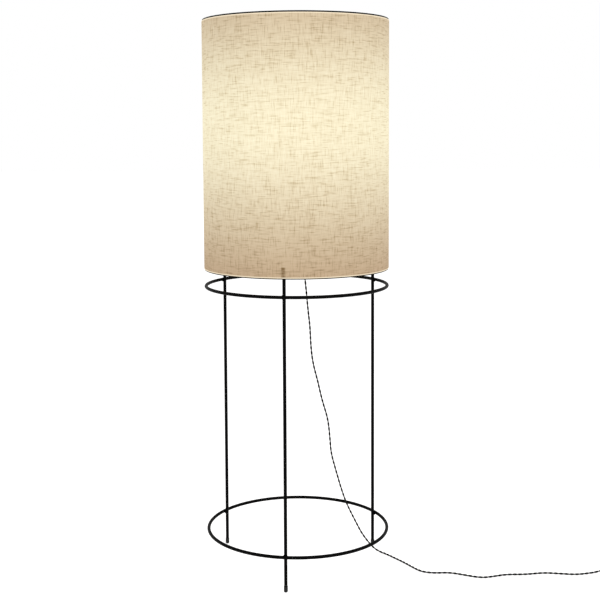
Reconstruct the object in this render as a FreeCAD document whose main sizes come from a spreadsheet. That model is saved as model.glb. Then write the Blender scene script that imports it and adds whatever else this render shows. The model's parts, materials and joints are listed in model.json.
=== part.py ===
import FreeCAD, Part
import Sketcher
import math
import os

# Column floor lamp: a drum shade of linen on a translucent liner stands on a wire stand of three rods
# and two rings. Inside the shade three bent arms rise from the leg sockets to a hub that carries the
# lampholder and its bulb. A twisted textile cord hangs free from the lampholder to the floor and runs
# to a foot switch, a coil and a two-pin plug.
#
# Frame: millimetres, +Z up, origin on the floor on the lamp's axis, -Y to the front, +X to the right.

Vector = FreeCAD.Vector
UP = Vector(0, 0, 1)

doc = FreeCAD.newDocument("column_floor_lamp")
sheet = doc.addObject("Spreadsheet::Sheet", "size")

SIZES = [
    # stand
    ("rod", 8.0, "diameter of the rod of legs and rings"),
    ("leg_top", 750.0, "height of a leg's upper end"),
    ("leg_chamfer", 0.8, "chamfer at a leg's ends"),
    ("leg_turn_front", -97.7, "angle of the front leg, from +X"),
    ("leg_turn_rear_right", 25.5, "angle of the rear right leg"),
    ("leg_turn_rear_left", 149.1, "angle of the rear left leg"),
    ("ring_height_top", 689.0, "height of the upper ring's rod centre"),
    ("ring_height_bottom", 85.0, "height of the lower ring's rod centre"),
    ("weld_length", 11.0, "height of a weld bead"),
    ("weld_width", 4.0, "width of a weld bead"),
    ("weld_taper", 1.2, "how far a bead draws in at its ends"),
    ("weld_offset", 3.3, "a bead's distance beside the joint"),
    ("foot_wall", 0.7, "wall of a foot cap"),
    ("foot_height", 14.0, "height of a foot cap"),
    ("foot_sole", 3.0, "thickness of a foot cap under the rod"),
    ("foot_flat", 1.9, "radius of the flat under a foot cap"),
    # shade
    ("shade_radius", 225.0, "outer radius of the linen"),
    ("shade_height", 600.0, "height of the shade over its hoops"),
    ("leg_reach", 20.0, "how far a leg stands up inside the shade"),
    ("linen", 0.7, "thickness of the linen"),
    ("liner", 0.5, "thickness of the liner"),
    ("seam_width", 12.0, "width of the linen's overlap at the back"),
    ("seam_lift", 0.5, "how far the overlap stands proud"),
    ("hoop_wall", 1.5, "thickness of a rim hoop"),
    ("hoop_height", 8.0, "height of a rim hoop"),
    ("hoop_show_top", 3.5, "bare height of the upper hoop"),
    ("hoop_show_bottom", 2.5, "bare height of the lower hoop"),
    # carrier
    ("socket_gap", 0.3, "gap round a leg in its socket"),
    ("socket_wall", 1.2, "wall of a leg socket"),
    ("socket_depth", 18.0, "how far a leg goes into its socket"),
    ("socket_cap", 5.0, "closed end of a leg socket"),
    ("socket_round", 1.0, "rounding of a socket's upper edge"),
    ("lug_width", 9.0, "width of the lug to the lower hoop"),
    ("lug_thickness", 3.0, "thickness of the lug"),
    ("arm_rod", 5.0, "diameter of a carrier arm"),
    ("arm_bend", 20.0, "bend radius of a carrier arm"),
    ("arm_upright", 8.0, "straight upright end of an arm"),
    ("arm_level", 8.0, "straight level end of an arm"),
    ("hub_rise", 275.0, "height of the hub's plate above the shade's lower rim"),
    ("hub_plate", 2.5, "thickness of the hub's plate"),
    ("hub_skirt", 9.0, "height of the hub's skirt"),
    ("hub_wall", 2.5, "wall of the hub's skirt"),
    ("hub_hole_gap", 0.2, "gap between the hub and the lampholder"),
    # lampholder
    ("nut_radius", 28.0, "outer radius of a ring nut"),
    ("nut_gap", 1.5, "gap round the lower ring nut in the hub"),
    ("nut_flange", 3.0, "thickness of a ring nut's flange"),
    ("nut_height", 8.0, "height of a ring nut"),
    ("nut_collar", 4.0, "wall of a ring nut's collar"),
    ("nut_notch", 2.0, "radius of a grip notch"),
    ("thread_gap", 0.1, "gap of a screwed joint"),
    ("holder_radius", 19.9, "outer radius of the threaded skirt"),
    ("holder_wall", 2.4, "wall of the skirt and the cap"),
    ("holder_rise", 20.0, "the skirt's rim above the hub's plate underside"),
    ("holder_drop", 16.0, "the skirt's foot below the plate's underside"),
    ("holder_bead", 1.2, "how far the skirt's foot bead stands out"),
    ("holder_bead_height", 3.0, "height of the foot bead"),
    ("cap_height", 30.0, "height of the lampholder's cap"),
    ("boss_radius", 8.0, "radius of the boss under the cap"),
    ("boss_height", 4.0, "height of the boss under the cap"),
    ("insert_flange", 3.0, "thickness of the contact block's flange"),
    ("insert_rise", 4.0, "contact block above its flange"),
    ("insert_drop", 8.0, "contact block below its flange"),
    ("ledge", 2.2, "width of the ledge that holds the contact block"),
    ("shell_gap", 0.3, "gap between screw shell and bulb cap"),
    ("shell_wall", 0.5, "wall of the screw shell"),
    ("shell_height", 21.0, "height of the screw shell"),
    ("shell_flange", 2.2, "width of the screw shell's foot flange"),
    ("contact_depth", 6.0, "centre contact below the plate's underside"),
    ("contact_strip", 0.6, "thickness of the centre contact's strip"),
    ("contact_width", 6.0, "width of the centre contact's strip"),
    ("contact_reach", 9.0, "how far the strip's foot lies from the axis"),
    ("contact_pad", 3.0, "half length of the strip's raised pad"),
    ("nipple_radius", 4.9, "radius of the cord grip's thread"),
    ("nipple_length", 8.0, "length of the cord grip's thread"),
    ("grip_flats", 14.0, "width of the cord grip's hexagon over its flats"),
    ("grip_hex", 6.0, "height of the cord grip's hexagon"),
    ("grip_nozzle", 20.0, "length of the cord grip's tapered nozzle"),
    ("grip_wide", 5.4, "radius of the nozzle at the hexagon"),
    ("grip_narrow", 3.3, "radius of the nozzle's end"),
    # bulb
    ("bulb_radius", 30.0, "largest radius of the glass"),
    ("bulb_length", 108.0, "length of the bulb"),
    ("bulb_glass", 0.9, "thickness of the glass"),
    ("bulb_flare", 24.0, "angle of the glass cone to the axis"),
    ("bulb_cone", 26.0, "slant length of the glass cone"),
    ("bulb_neck", 12.4, "radius of the glass neck"),
    ("bulb_neck_foot", 20.0, "height of the neck's foot above the tip"),
    ("bulb_neck_top", 27.0, "height of the neck's upper end"),
    ("bulb_cap_radius", 13.0, "outer radius of the screw cap"),
    ("bulb_cap_rim", 25.0, "height of the screw cap's rim"),
    ("bulb_cap_foot", 8.0, "height of the screw cap's lower edge"),
    ("bulb_cap_base", 5.0, "height where the cap meets the insulator"),
    ("insulator_radius", 10.5, "radius of the insulator"),
    ("insulator_top", 7.0, "height of the insulator's top"),
    ("tip_radius", 4.6, "radius of the contact tip"),
    ("tip_height", 1.2, "height of the contact tip"),
    ("column_radius", 5.0, "radius of the light source column"),
    ("column_foot", 9.0, "radius of the column's foot"),
    ("column_top", 70.0, "height of the column's top"),
    # cord
    ("cord", 4.8, "diameter over both strands of the twisted cord"),
    ("coil_radius", 35.0, "radius of the coil's outer turn"),
    ("coil_pitch", 6.2, "step from turn to turn"),
    ("coil_layer", 5.6, "step from the lower to the upper layer"),
    # foot switch
    ("switch_reach", 18.0, "centre of an end's rounding from the middle"),
    ("switch_half", 14.0, "half width of the switch"),
    ("switch_height", 20.0, "height of the switch"),
    ("switch_split", 7.0, "height of the joint and of the cord's axis"),
    ("switch_wall", 2.0, "wall of the switch"),
    ("switch_floor", 2.5, "floor of the switch base"),
    ("switch_round", 4.0, "rounding of the cover's upper edge"),
    ("button_radius", 9.5, "radius of the button"),
    ("button_gap", 0.4, "gap round the button"),
    ("button_proud", 3.5, "how far the button stands out"),
    ("button_round", 1.8, "rounding of the button's edge"),
    ("button_rim", 1.5, "how far the button's rim reaches under the cover"),
    ("button_rim_height", 1.6, "thickness of the button's rim"),
    ("button_stop", 0.1, "play between the rim and the cover"),
    ("stem_radius", 3.0, "radius of the button's stem"),
    ("stem_length", 7.0, "length of the button's stem"),
    ("bridge_length", 25.0, "length of the contact bridge"),
    ("bridge_width", 9.0, "width of the contact bridge"),
    ("bridge_strip", 0.8, "thickness of the contact bridge"),
    ("travel", 3.0, "travel of the button"),
    ("terminal_length", 5.0, "length of a terminal"),
    ("terminal_width", 8.0, "width of a terminal"),
    ("terminal_inner", 7.5, "a terminal's inner face from the middle"),
    ("spring_radius", 5.0, "middle radius of the button's spring"),
    ("spring_wire", 0.8, "wire of the button's spring"),
    ("screw_x", 23.0, "cover screw's place along the switch"),
    ("screw_y", 6.5, "cover screw's place across the switch"),
    ("screw_post", 2.9, "radius of a screw post"),
    ("screw_shank", 1.4, "radius of a cover screw"),
    ("screw_gap", 0.1, "gap round a cover screw in the base"),
    ("screw_head", 2.6, "radius of a cover screw's head"),
    ("screw_head_height", 1.6, "height of a cover screw's head"),
    ("screw_length", 12.0, "length of a cover screw under its head"),
    ("sleeve_length", 20.0, "length of a cord sleeve outside the switch"),
    ("sleeve_wide", 4.4, "radius of a cord sleeve at the switch"),
    ("sleeve_neck", 3.5, "radius of a cord sleeve in the wall"),
    ("sleeve_narrow", 3.2, "radius of a cord sleeve's end"),
    ("sleeve_flange", 1.6, "thickness of a cord sleeve's inner flange"),
    ("sleeve_seat", 3.0, "depth of a cord sleeve's inner flange in the switch"),
    # plug
    ("plug_width", 35.3, "width of the plug's face"),
    ("plug_thickness", 13.7, "thickness of the plug's face"),
    ("plug_round", 4.0, "corner radius of the plug"),
    ("plug_rear_width", 15.0, "width of the plug's rear end"),
    ("plug_rear_thickness", 11.4, "thickness of the plug's rear end"),
    ("plug_waist_width", 20.0, "width of the plug's waist"),
    ("plug_waist_thickness", 12.4, "thickness of the plug's waist"),
    ("plug_waist_at", 12.0, "place of the plug's waist from its rear end"),
    ("plug_grip", 26.0, "length of the plug's tapered grip"),
    ("plug_face", 10.0, "length of the plug's straight face part"),
    ("pin_pitch", 18.6, "distance of the plug's pins"),
    ("pin_radius", 2.0, "radius of a pin"),
    ("pin_length", 19.0, "length of a pin"),
    ("pin_core", 1.5, "radius of a pin under its sleeve"),
    ("pin_sleeve", 10.0, "length of a pin's sleeve"),
    ("relief_length", 24.0, "length of the plug's strain relief"),
    ("relief_wide", 5.2, "radius of the strain relief at the plug"),
    ("relief_narrow", 3.3, "radius of the strain relief's end"),
    ("relief_groove", 0.7, "depth of a groove of the strain relief"),
]
for row, (alias, number, meaning) in enumerate(SIZES, start=1):
    sheet.set(f"A{row}", meaning)
    sheet.set(f"B{row}", str(number))
    sheet.setAlias(f"B{row}", alias)
doc.recompute()

# Places that several pieces share, worked out from the sheet.
RING_RADIUS = "(size.shade_radius - size.rod / 2)"
LEG_CIRCLE = f"({RING_RADIUS} - size.rod)"
SHADE_FOOT = "(size.leg_top - size.leg_reach)"
SHADE_HEAD = f"({SHADE_FOOT} + size.shade_height)"
LINEN_INNER = "(size.shade_radius - size.linen)"
LINER_INNER = f"({LINEN_INNER} - size.liner)"
HOOP_INNER = f"({LINER_INNER} - size.hoop_wall)"
CLOTH_FOOT = f"({SHADE_FOOT} + size.hoop_show_bottom)"
CLOTH_HEAD = f"({SHADE_HEAD} - size.hoop_show_top)"
SOCKET_RADIUS = "(size.rod / 2 + size.socket_gap + size.socket_wall)"
SOCKET_HEAD = "(size.leg_top + size.socket_cap)"
HUB_FOOT = f"({SHADE_FOOT} + size.hub_rise)"
HUB_RADIUS = "(size.nut_radius + size.nut_gap + size.hub_wall)"
BULB_TIP = f"({HUB_FOOT} - size.contact_depth)"
HOLDER_BEAD = "(size.holder_radius + size.holder_bead)"
INSERT_FLOOR = "(-size.holder_drop + size.insert_rise)"
CAP_BASE = "(-size.holder_drop - size.cap_height)"
BOSS_FOOT = f"({CAP_BASE} - size.boss_height)"
GRIP_FOOT = f"({BOSS_FOOT} - size.grip_hex - size.grip_nozzle)"

LEGS = {
    "front": "size.leg_turn_front",
    "rear_right": "size.leg_turn_rear_right",
    "rear_left": "size.leg_turn_rear_left",
}

# Where the cord's pieces lie on the floor, past the end of the photographed stretch.
SWITCH_X, SWITCH_Y = 796.0, -107.0
COIL_X, COIL_Y = 848.0, -166.0
PLUG_X, PLUG_Y = 883.5, -204.0

nodes = []


def value(text):
    """The number that an expression gives."""
    return float(sheet.evalExpression(text))


def node(thing):
    """Count a finished object as one of the part's pieces; its label names its file."""
    nodes.append(thing)
    return thing


def new_body(name):
    body = doc.addObject("PartDesign::Body", name)
    body.Label = name
    return body


def sketch_on(body, plane, lift=None):
    """A sketch on one of the body's own origin planes, moved along the plane's normal by an expression."""
    sketch = body.newObject("Sketcher::SketchObject", body.Name + "_sketch")
    support = next(f for f in body.Origin.OriginFeatures if f.Role == plane)
    sketch.AttachmentSupport = (support, "")
    sketch.MapMode = "FlatFace"
    if lift:
        sketch.setExpression("AttachmentOffset.Base.z", lift)
    return sketch


def hold(sketch, kind, *where, to):
    """Add a dimension to the sketch and bind it to an expression."""
    index = sketch.addConstraint(Sketcher.Constraint(kind, *where, value(to)))
    sketch.setExpression(f"Constraints[{index}]", to)


def pin_point(sketch, geometry, point, x, y):
    """Fix a point of the sketch at two expressions; a plain 0 puts it on the axis."""
    for kind, text, axis in (("DistanceX", x, -2), ("DistanceY", y, -1)):
        if text == "0":
            sketch.addConstraint(Sketcher.Constraint("PointOnObject", geometry, point, axis))
        else:
            hold(sketch, kind, -1, 1, geometry, point, to=text)


def arc_between(start, end, radius, left):
    """The arc under a half circle from start to end that turns left, or right."""
    chord = end - start
    side = Vector(-chord.y, chord.x, 0).normalize() * (1 if left else -1)
    rise = math.sqrt(max(radius**2 - (chord.Length / 2) ** 2, 0.0))
    centre = start + chord * 0.5 + side * rise
    first, last = (start, end) if left else (end, start)
    angles = [math.atan2(p.y - centre.y, p.x - centre.x) for p in (first, last)]
    return Part.ArcOfCircle(Part.Circle(centre, UP, radius), *angles)


def outline(sketch, corners):
    """Close an outline through corners, each a pair of expressions. A third item, a radius, makes the side
    that starts there an arc, which turns left, or right where the radius has a minus sign before it."""
    spots = [Vector(value(corner[0]), value(corner[1]), 0) for corner in corners]
    sides = []
    for index, corner in enumerate(corners):
        start, end = spots[index], spots[(index + 1) % len(spots)]
        if len(corner) == 2:
            side = sketch.addGeometry(Part.LineSegment(start, end), False)
            sides.append((side, 1, 2))
            continue
        left = not corner[2].startswith("-")
        radius = corner[2].lstrip("-")
        side = sketch.addGeometry(arc_between(start, end, value(radius), left), False)
        sides.append((side, 1, 2) if left else (side, 2, 1))
    for index, corner in enumerate(corners):
        side, first, last = sides[index]
        following, following_first, _ = sides[(index + 1) % len(sides)]
        sketch.addConstraint(Sketcher.Constraint("Coincident", side, last, following, following_first))
        pin_point(sketch, side, first, corner[0], corner[1])
        if len(corner) == 3:
            hold(sketch, "Radius", side, to=corner[2].lstrip("-"))


def circle(sketch, x, y, radius):
    start = Part.Circle(Vector(value(x), value(y), 0), UP, value(radius))
    index = sketch.addGeometry(start, False)
    pin_point(sketch, index, 3, x, y)
    hold(sketch, "Radius", index, to=radius)


def feature(body, kind, sketch, **expressions):
    """A feature of the body made from a sketch, with its sizes bound to expressions."""
    made = body.newObject(f"PartDesign::{kind}", f"{body.Name}_{kind.lower()}")
    made.Profile = sketch
    if kind in ("Revolution", "Groove"):
        made.ReferenceAxis = (sketch, ["V_Axis"])
        made.Angle = 360
    for name, text in expressions.items():
        made.setExpression(name, text)
    return made


def cut(body, kind, sketch, through=False, upwards=False, **expressions):
    """A pocket or groove; it has to take something away."""
    doc.recompute()
    before = body.Shape.Volume
    made = feature(body, kind, sketch, **expressions)
    if through:
        made.Type = "ThroughAll"
        made.Midplane = True
    if upwards:
        made.Reversed = True
    doc.recompute()
    if not body.Shape.Volume < before - 1e-3:
        raise ValueError(f"{body.Label}: {made.Label} takes nothing away")
    return made


def round_edges(body, radius, pick):
    """Fillet the edges of the body that pick accepts."""
    doc.recompute()
    base = body.Tip
    names = [f"Edge{n}" for n, edge in enumerate(base.Shape.Edges, start=1) if pick(edge)]
    made = body.newObject("PartDesign::Fillet", body.Name + "_fillet")
    made.Base = (base, names)
    made.setExpression("Radius", radius)
    return made


def turned(name, corners):
    """A body turned about its own Z axis from an outline of (radius, height) corners."""
    body = new_body(name)
    sketch = sketch_on(body, "XZ_Plane")
    outline(sketch, corners)
    feature(body, "Revolution", sketch)
    return body


def place(thing, x=None, y=None, z=None, turn=None, axis=UP, angle=0.0):
    """Bind the object's place to expressions. It stands turned about axis by a fixed angle, or about Z by
    the expression turn."""
    thing.Placement = FreeCAD.Placement(Vector(), FreeCAD.Rotation(axis, angle))
    for name, text in (("x", x), ("y", y), ("z", z)):
        if text:
            thing.setExpression(f"Placement.Base.{name}", text)
    if turn:
        thing.setExpression("Placement.Rotation.Angle", turn)
    return thing


def group(name, pieces):
    """Several separate solids that share one node."""
    made = doc.addObject("Part::Compound", name)
    made.Links = pieces
    return made


# ---- tubes along a route -------------------------------------------------------------------------


def rounded_route(points, name):
    """Straight runs through the points, joined at each inner one by a tangent arc whose radius is 0.45 of
    the shorter run over the tangent of half the turn."""
    edges, at, radii = [], points[0], []
    for before, corner, after in zip(points, points[1:], points[2:]):
        into, out = (corner - before), (after - corner)
        half = into.getAngle(out) / 2
        reach = 0.45 * min(into.Length, out.Length)
        radius = reach / math.tan(half)
        radii.append(radius)
        start = corner - Vector(into).normalize() * reach
        end = corner + Vector(out).normalize() * reach
        bisector = ((start + end) * 0.5 - corner).normalize()
        middle = corner + bisector * (radius / math.cos(half) - radius)
        edges += [Part.LineSegment(at, start).toShape(), Part.Arc(start, middle, end).toShape()]
        at = end
    edges.append(Part.LineSegment(at, points[-1]).toShape())
    print(f"{name}: least radius {min(radii):.1f} mm, radii", " ".join(f"{r:.0f}" for r in radii))
    return Part.Wire(edges)


def biarc(start, heading, end, next_heading):
    """Two arcs that leave start along heading and reach end along next_heading."""
    chord = end - start
    both = heading + next_heading
    a = 2 * (1 - heading.dot(next_heading))
    b = 2 * chord.dot(both)
    c = -chord.dot(chord)
    reach = (-b + math.sqrt(b * b - 4 * a * c)) / (2 * a)
    first, second = start + heading * reach, end - next_heading * reach
    joint = (first + second) * 0.5
    arcs = []
    for p, apex, q in ((start, first, joint), (joint, second, end)):
        middle = (p + q) * 0.5
        half = (q - p).Length / 2
        height = (apex - middle).Length
        sagitta = half * reach / height * (1 - half / reach)
        arcs.append(Part.Arc(p, middle + (apex - middle) * (sagitta / height), q).toShape())
    return arcs


def eased(share):
    """A climb from 0 to 1 that starts and ends level, and stays level before and after."""
    share = min(max(share, 0.0), 1.0)
    return share**2 * (3 - 2 * share)


def wound_turns(centre, radius_at, height_at, turn_count, way, parts):
    """Turns round a vertical axis as biarcs, parts of them to a turn, and the first and last spot, each with
    the heading there. radius_at and height_at give the radius and the height after a number of turns; way is
    1 anticlockwise and -1 clockwise, seen from above."""

    def spot(turn):
        angle = 2 * math.pi * turn * way
        radius = radius_at(turn)
        return centre + Vector(radius * math.cos(angle), radius * math.sin(angle), height_at(turn))

    def heading(turn):
        small = 1e-4
        return (spot(turn + small) - spot(turn - small)).normalize()

    stations = [part / parts for part in range(round(turn_count * parts) + 1)]
    edges = []
    for turn, following in zip(stations, stations[1:]):
        edges += biarc(spot(turn), heading(turn), spot(following), heading(following))
    return edges, (spot(0), heading(0)), (spot(turn_count), heading(turn_count))


def tube(name, route, diameter):
    """A round tube along the route, as one pipe shell; its volume has to be its section times its length."""
    start = route.OrderedEdges[0]
    heading = start.tangentAt(start.FirstParameter)
    at = start.valueAt(start.FirstParameter)
    ring = Part.Wire([Part.makeCircle(diameter / 2, at, heading)])
    shape = route.makePipeShell([ring], True, False)
    wanted = math.pi / 4 * diameter**2 * route.Length
    print(f"{name}: length {route.Length:.0f} mm, volume {shape.Volume:.0f} of {wanted:.0f} mm3")
    if abs(shape.Volume / wanted - 1) > 0.01:
        raise ValueError(f"{name}: the tube's volume is wrong")
    made = doc.addObject("Part::Feature", name)
    made.Label = name
    made.Shape = shape
    return made


def least_gap(route, diameter, apart):
    """The least gap between stretches of the tube that are further apart along it than the given length."""
    step = diameter / 4
    points = route.discretize(Distance=step)
    skip = int(apart / step)
    nearest = min(
        (points[i] - points[j]).Length
        for i in range(len(points))
        for j in range(i + skip, len(points))
    )
    return nearest - diameter


# ---- stand -------------------------------------------------------------------------------------------

for side, turn in LEGS.items():
    radius = "size.rod / 2"
    leg = turned(
        f"leg_{side}",
        [
            ("0", "size.foot_sole"),
            (f"{radius} - size.leg_chamfer", "size.foot_sole"),
            (radius, "size.foot_sole + size.leg_chamfer"),
            (radius, "size.leg_top - size.leg_chamfer"),
            (f"{radius} - size.leg_chamfer", "size.leg_top"),
            ("0", "size.leg_top"),
        ],
    )
    cap_radius = "(size.rod / 2 + size.foot_wall)"
    curve = f"({cap_radius} - size.foot_flat)"
    foot = turned(
        f"foot_cap_{side}",
        [
            ("0", "0"),
            ("size.foot_flat", "0", curve),
            (cap_radius, curve),
            (cap_radius, "size.foot_height"),
            (radius, "size.foot_height"),
            (radius, "size.foot_sole"),
            ("0", "size.foot_sole"),
        ],
    )
    for piece in (leg, foot):
        place(piece, x=f"{LEG_CIRCLE} * cos({turn})", y=f"{LEG_CIRCLE} * sin({turn})")
        node(piece)

for level in ("top", "bottom"):
    ring = doc.addObject("Part::Torus", f"ring_{level}")
    ring.setExpression("Radius1", RING_RADIUS)
    ring.setExpression("Radius2", "size.rod / 2")
    place(ring, z=f"size.ring_height_{level}")
    node(ring)

# A weld bead fills the corner on each side of a leg where it touches a ring.
bead_radius = "size.weld_width / 2"
bead_end = "size.weld_length / 2"
for level in ("top", "bottom"):
    beads = []
    for side, turn in LEGS.items():
        for hand in ("+", "-"):
            bead = turned(
                f"bead_{level}_{side}",
                [
                    ("0", f"-({bead_end})"),
                    (f"{bead_radius} - size.weld_taper", f"-({bead_end})"),
                    (bead_radius, f"-({bead_end} - 2 * size.weld_taper)"),
                    (bead_radius, f"{bead_end} - 2 * size.weld_taper"),
                    (f"{bead_radius} - size.weld_taper", bead_end),
                    ("0", bead_end),
                ],
            )
            out = f"({LEG_CIRCLE} + size.rod / 2)"
            place(
                bead,
                x=f"{out} * cos({turn}) - ({hand}size.weld_offset) * sin({turn})",
                y=f"{out} * sin({turn}) + ({hand}size.weld_offset) * cos({turn})",
                z=f"size.ring_height_{level}",
            )
            solid_leg = doc.addObject("Part::Cylinder", f"bead_leg_{level}_{side}")
            solid_leg.setExpression("Radius", "size.rod / 2")
            solid_leg.setExpression("Height", "size.leg_top")
            place(solid_leg, x=f"{LEG_CIRCLE} * cos({turn})", y=f"{LEG_CIRCLE} * sin({turn})")
            off_leg = doc.addObject("Part::Cut", f"bead_off_leg_{level}_{side}")
            off_leg.Base, off_leg.Tool = bead, solid_leg
            off_ring = doc.addObject("Part::Cut", f"bead_off_ring_{level}_{side}")
            off_ring.Base, off_ring.Tool = off_leg, doc.getObject(f"ring_{level}")
            beads.append(off_ring)
    node(group(f"welds_{level}", beads))

# ---- shade ---------------------------------------------------------------------------------------------


def band(name, inner, outer, foot, head):
    """An upright round band, given by its two radii and its lower and upper edge."""
    return turned(name, [(inner, foot), (outer, foot), (outer, head), (inner, head)])


linen = band("shade_linen", LINEN_INNER, "size.shade_radius", CLOTH_FOOT, CLOTH_HEAD)
overlap = sketch_on(linen, "XY_Plane", CLOTH_FOOT)
seam_side = "size.seam_width / 2"
seam_inner = f"({LINEN_INNER} + size.linen / 2)"
seam_outer = "(size.shade_radius + size.seam_lift)"
outline(
    overlap,
    [
        (f"-({seam_side})", f"sqrt({seam_inner} ^ 2 - ({seam_side}) ^ 2)", "-" + seam_inner),
        (seam_side, f"sqrt({seam_inner} ^ 2 - ({seam_side}) ^ 2)"),
        (seam_side, f"sqrt({seam_outer} ^ 2 - ({seam_side}) ^ 2)", seam_outer),
        (f"-({seam_side})", f"sqrt({seam_outer} ^ 2 - ({seam_side}) ^ 2)"),
    ],
)
feature(linen, "Pad", overlap, Length=f"{CLOTH_HEAD} - {CLOTH_FOOT}")
node(linen)
node(band("shade_liner", LINER_INNER, LINEN_INNER, CLOTH_FOOT, CLOTH_HEAD))
node(band("shade_hoop_bottom", HOOP_INNER, LINER_INNER, SHADE_FOOT, f"{SHADE_FOOT} + size.hoop_height"))
node(band("shade_hoop_top", HOOP_INNER, LINER_INNER, f"{SHADE_HEAD} - size.hoop_height", SHADE_HEAD))

# ---- carrier: sockets over the leg tops, arms and hub ------------------------------------------------------

for side, turn in LEGS.items():
    socket = new_body(f"leg_socket_{side}")
    mouth = "(size.leg_top - size.socket_depth)"
    wall = sketch_on(socket, "XY_Plane", mouth)
    circle(wall, LEG_CIRCLE, "0", SOCKET_RADIUS)
    feature(socket, "Pad", wall, Length=f"{SOCKET_HEAD} - {mouth}")
    round_edges(
        socket,
        "size.socket_round",
        lambda edge: edge.Closed and abs(edge.CenterOfMass.z - value(SOCKET_HEAD)) < 0.01,
    )
    lug = sketch_on(socket, "XY_Plane", mouth)
    half_lug = "size.lug_width / 2"
    hoop_touch = f"sqrt({HOOP_INNER} ^ 2 - ({half_lug}) ^ 2)"
    outline(
        lug,
        [
            (LEG_CIRCLE, f"-({half_lug})"),
            (hoop_touch, f"-({half_lug})", HOOP_INNER),
            (hoop_touch, half_lug),
            (LEG_CIRCLE, half_lug),
        ],
    )
    feature(socket, "Pad", lug, Length="size.lug_thickness")
    bore = sketch_on(socket, "XY_Plane", mouth)
    circle(bore, LEG_CIRCLE, "0", "size.rod / 2 + size.socket_gap")
    cut(socket, "Pocket", bore, upwards=True, Length="size.socket_depth")
    place(socket, turn=turn)
    node(socket)

# An arm rises from a socket, leans in to the hub and ends level against the hub's skirt.
hub_touch = f"({HUB_FOOT} - size.hub_skirt / 2 + size.hub_plate)"
for side, turn in LEGS.items():
    arm = new_body(f"carrier_arm_{side}")
    spine = sketch_on(arm, "XZ_Plane")
    bend = value("size.arm_bend")
    low = Vector(value(LEG_CIRCLE), value(SOCKET_HEAD), 0)
    high = Vector(value(HUB_RADIUS) - 1, value(hub_touch), 0)
    low_corner = low + Vector(0, value("size.arm_upright") + bend * 0.4, 0)
    high_corner = high + Vector(value("size.arm_level") + bend * 0.5, 0, 0)
    lean = (high_corner - low_corner).normalize()
    low_half = lean.getAngle(Vector(0, 1, 0)) / 2
    high_half = lean.getAngle(Vector(-1, 0, 0)) / 2
    a = low_corner - Vector(0, bend * math.tan(low_half), 0)
    b = low_corner + lean * (bend * math.tan(low_half))
    c = high_corner - lean * (bend * math.tan(high_half))
    d = high_corner + Vector(-bend * math.tan(high_half), 0, 0)
    upright = spine.addGeometry(Part.LineSegment(low, a), False)
    knee = spine.addGeometry(arc_between(a, b, bend, True), False)
    slope = spine.addGeometry(Part.LineSegment(b, c), False)
    elbow = spine.addGeometry(arc_between(c, d, bend, True), False)
    level = spine.addGeometry(Part.LineSegment(d, high), False)
    for first, second in ((upright, knee), (knee, slope), (slope, elbow), (elbow, level)):
        spine.addConstraint(Sketcher.Constraint("Tangent", first, 2, second, 1))
    spine.addConstraint(Sketcher.Constraint("Vertical", upright))
    spine.addConstraint(Sketcher.Constraint("Horizontal", level))
    pin_point(spine, upright, 1, LEG_CIRCLE, SOCKET_HEAD)
    pin_point(spine, level, 2, f"{HUB_RADIUS} - 1", hub_touch)
    hold(spine, "Radius", knee, to="size.arm_bend")
    hold(spine, "Radius", elbow, to="size.arm_bend")
    hold(spine, "DistanceY", upright, 1, upright, 2, to="size.arm_upright")
    hold(spine, "DistanceX", level, 2, level, 1, to="size.arm_level + 1")
    section = sketch_on(arm, "XY_Plane", SOCKET_HEAD)
    circle(section, LEG_CIRCLE, "0", "size.arm_rod / 2")
    pipe = feature(arm, "AdditivePipe", section)
    pipe.Spine = spine
    trim = sketch_on(arm, "XY_Plane", HUB_FOOT)
    circle(trim, "0", "0", HUB_RADIUS)
    cut(arm, "Pocket", trim, through=True)
    place(arm, turn=turn)
    node(arm)

hub = turned(
    "carrier_hub",
    [
        ("size.holder_radius + size.hub_hole_gap", "0"),
        (f"{HUB_RADIUS} - size.hub_wall", "0"),
        (f"{HUB_RADIUS} - size.hub_wall", "size.hub_plate - size.hub_skirt"),
        (HUB_RADIUS, "size.hub_plate - size.hub_skirt"),
        (HUB_RADIUS, "size.hub_plate"),
        ("size.holder_radius + size.hub_hole_gap", "size.hub_plate"),
    ],
)
node(place(hub, z=HUB_FOOT))

# ---- lampholder, with heights counted from the hub plate's underside ---------------------------------------

skirt_inner = "(size.holder_radius - size.holder_wall)"
skirt = turned(
    "lampholder_skirt",
    [
        (skirt_inner, "-size.holder_drop"),
        (HOLDER_BEAD, "-size.holder_drop"),
        (HOLDER_BEAD, "size.holder_bead_height - size.holder_drop"),
        ("size.holder_radius", "size.holder_bead_height - size.holder_drop"),
        ("size.holder_radius", "size.holder_rise"),
        (skirt_inner, "size.holder_rise"),
    ],
)
cap_inner = f"({HOLDER_BEAD} - size.holder_wall)"
cap_hollow = f"({cap_inner} - size.ledge)"
cap_curve = f"({HOLDER_BEAD} - size.boss_radius)"
hollow_curve = f"({cap_hollow} - size.boss_radius)"
nipple_hole = "(size.nipple_radius + size.thread_gap)"
cap = turned(
    "lampholder_cap",
    [
        (nipple_hole, BOSS_FOOT),
        ("size.boss_radius", BOSS_FOOT),
        ("size.boss_radius", CAP_BASE, cap_curve),
        (HOLDER_BEAD, f"{CAP_BASE} + {cap_curve}"),
        (HOLDER_BEAD, "-size.holder_drop"),
        (cap_inner, "-size.holder_drop"),
        (cap_inner, "-size.holder_drop - size.insert_flange"),
        (cap_hollow, "-size.holder_drop - size.insert_flange"),
        (cap_hollow, f"{CAP_BASE} + {cap_curve}", "-" + hollow_curve),
        ("size.boss_radius", f"{CAP_BASE} + {cap_curve} - {hollow_curve}"),
        (nipple_hole, f"{CAP_BASE} + {cap_curve} - {hollow_curve}"),
    ],
)
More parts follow.
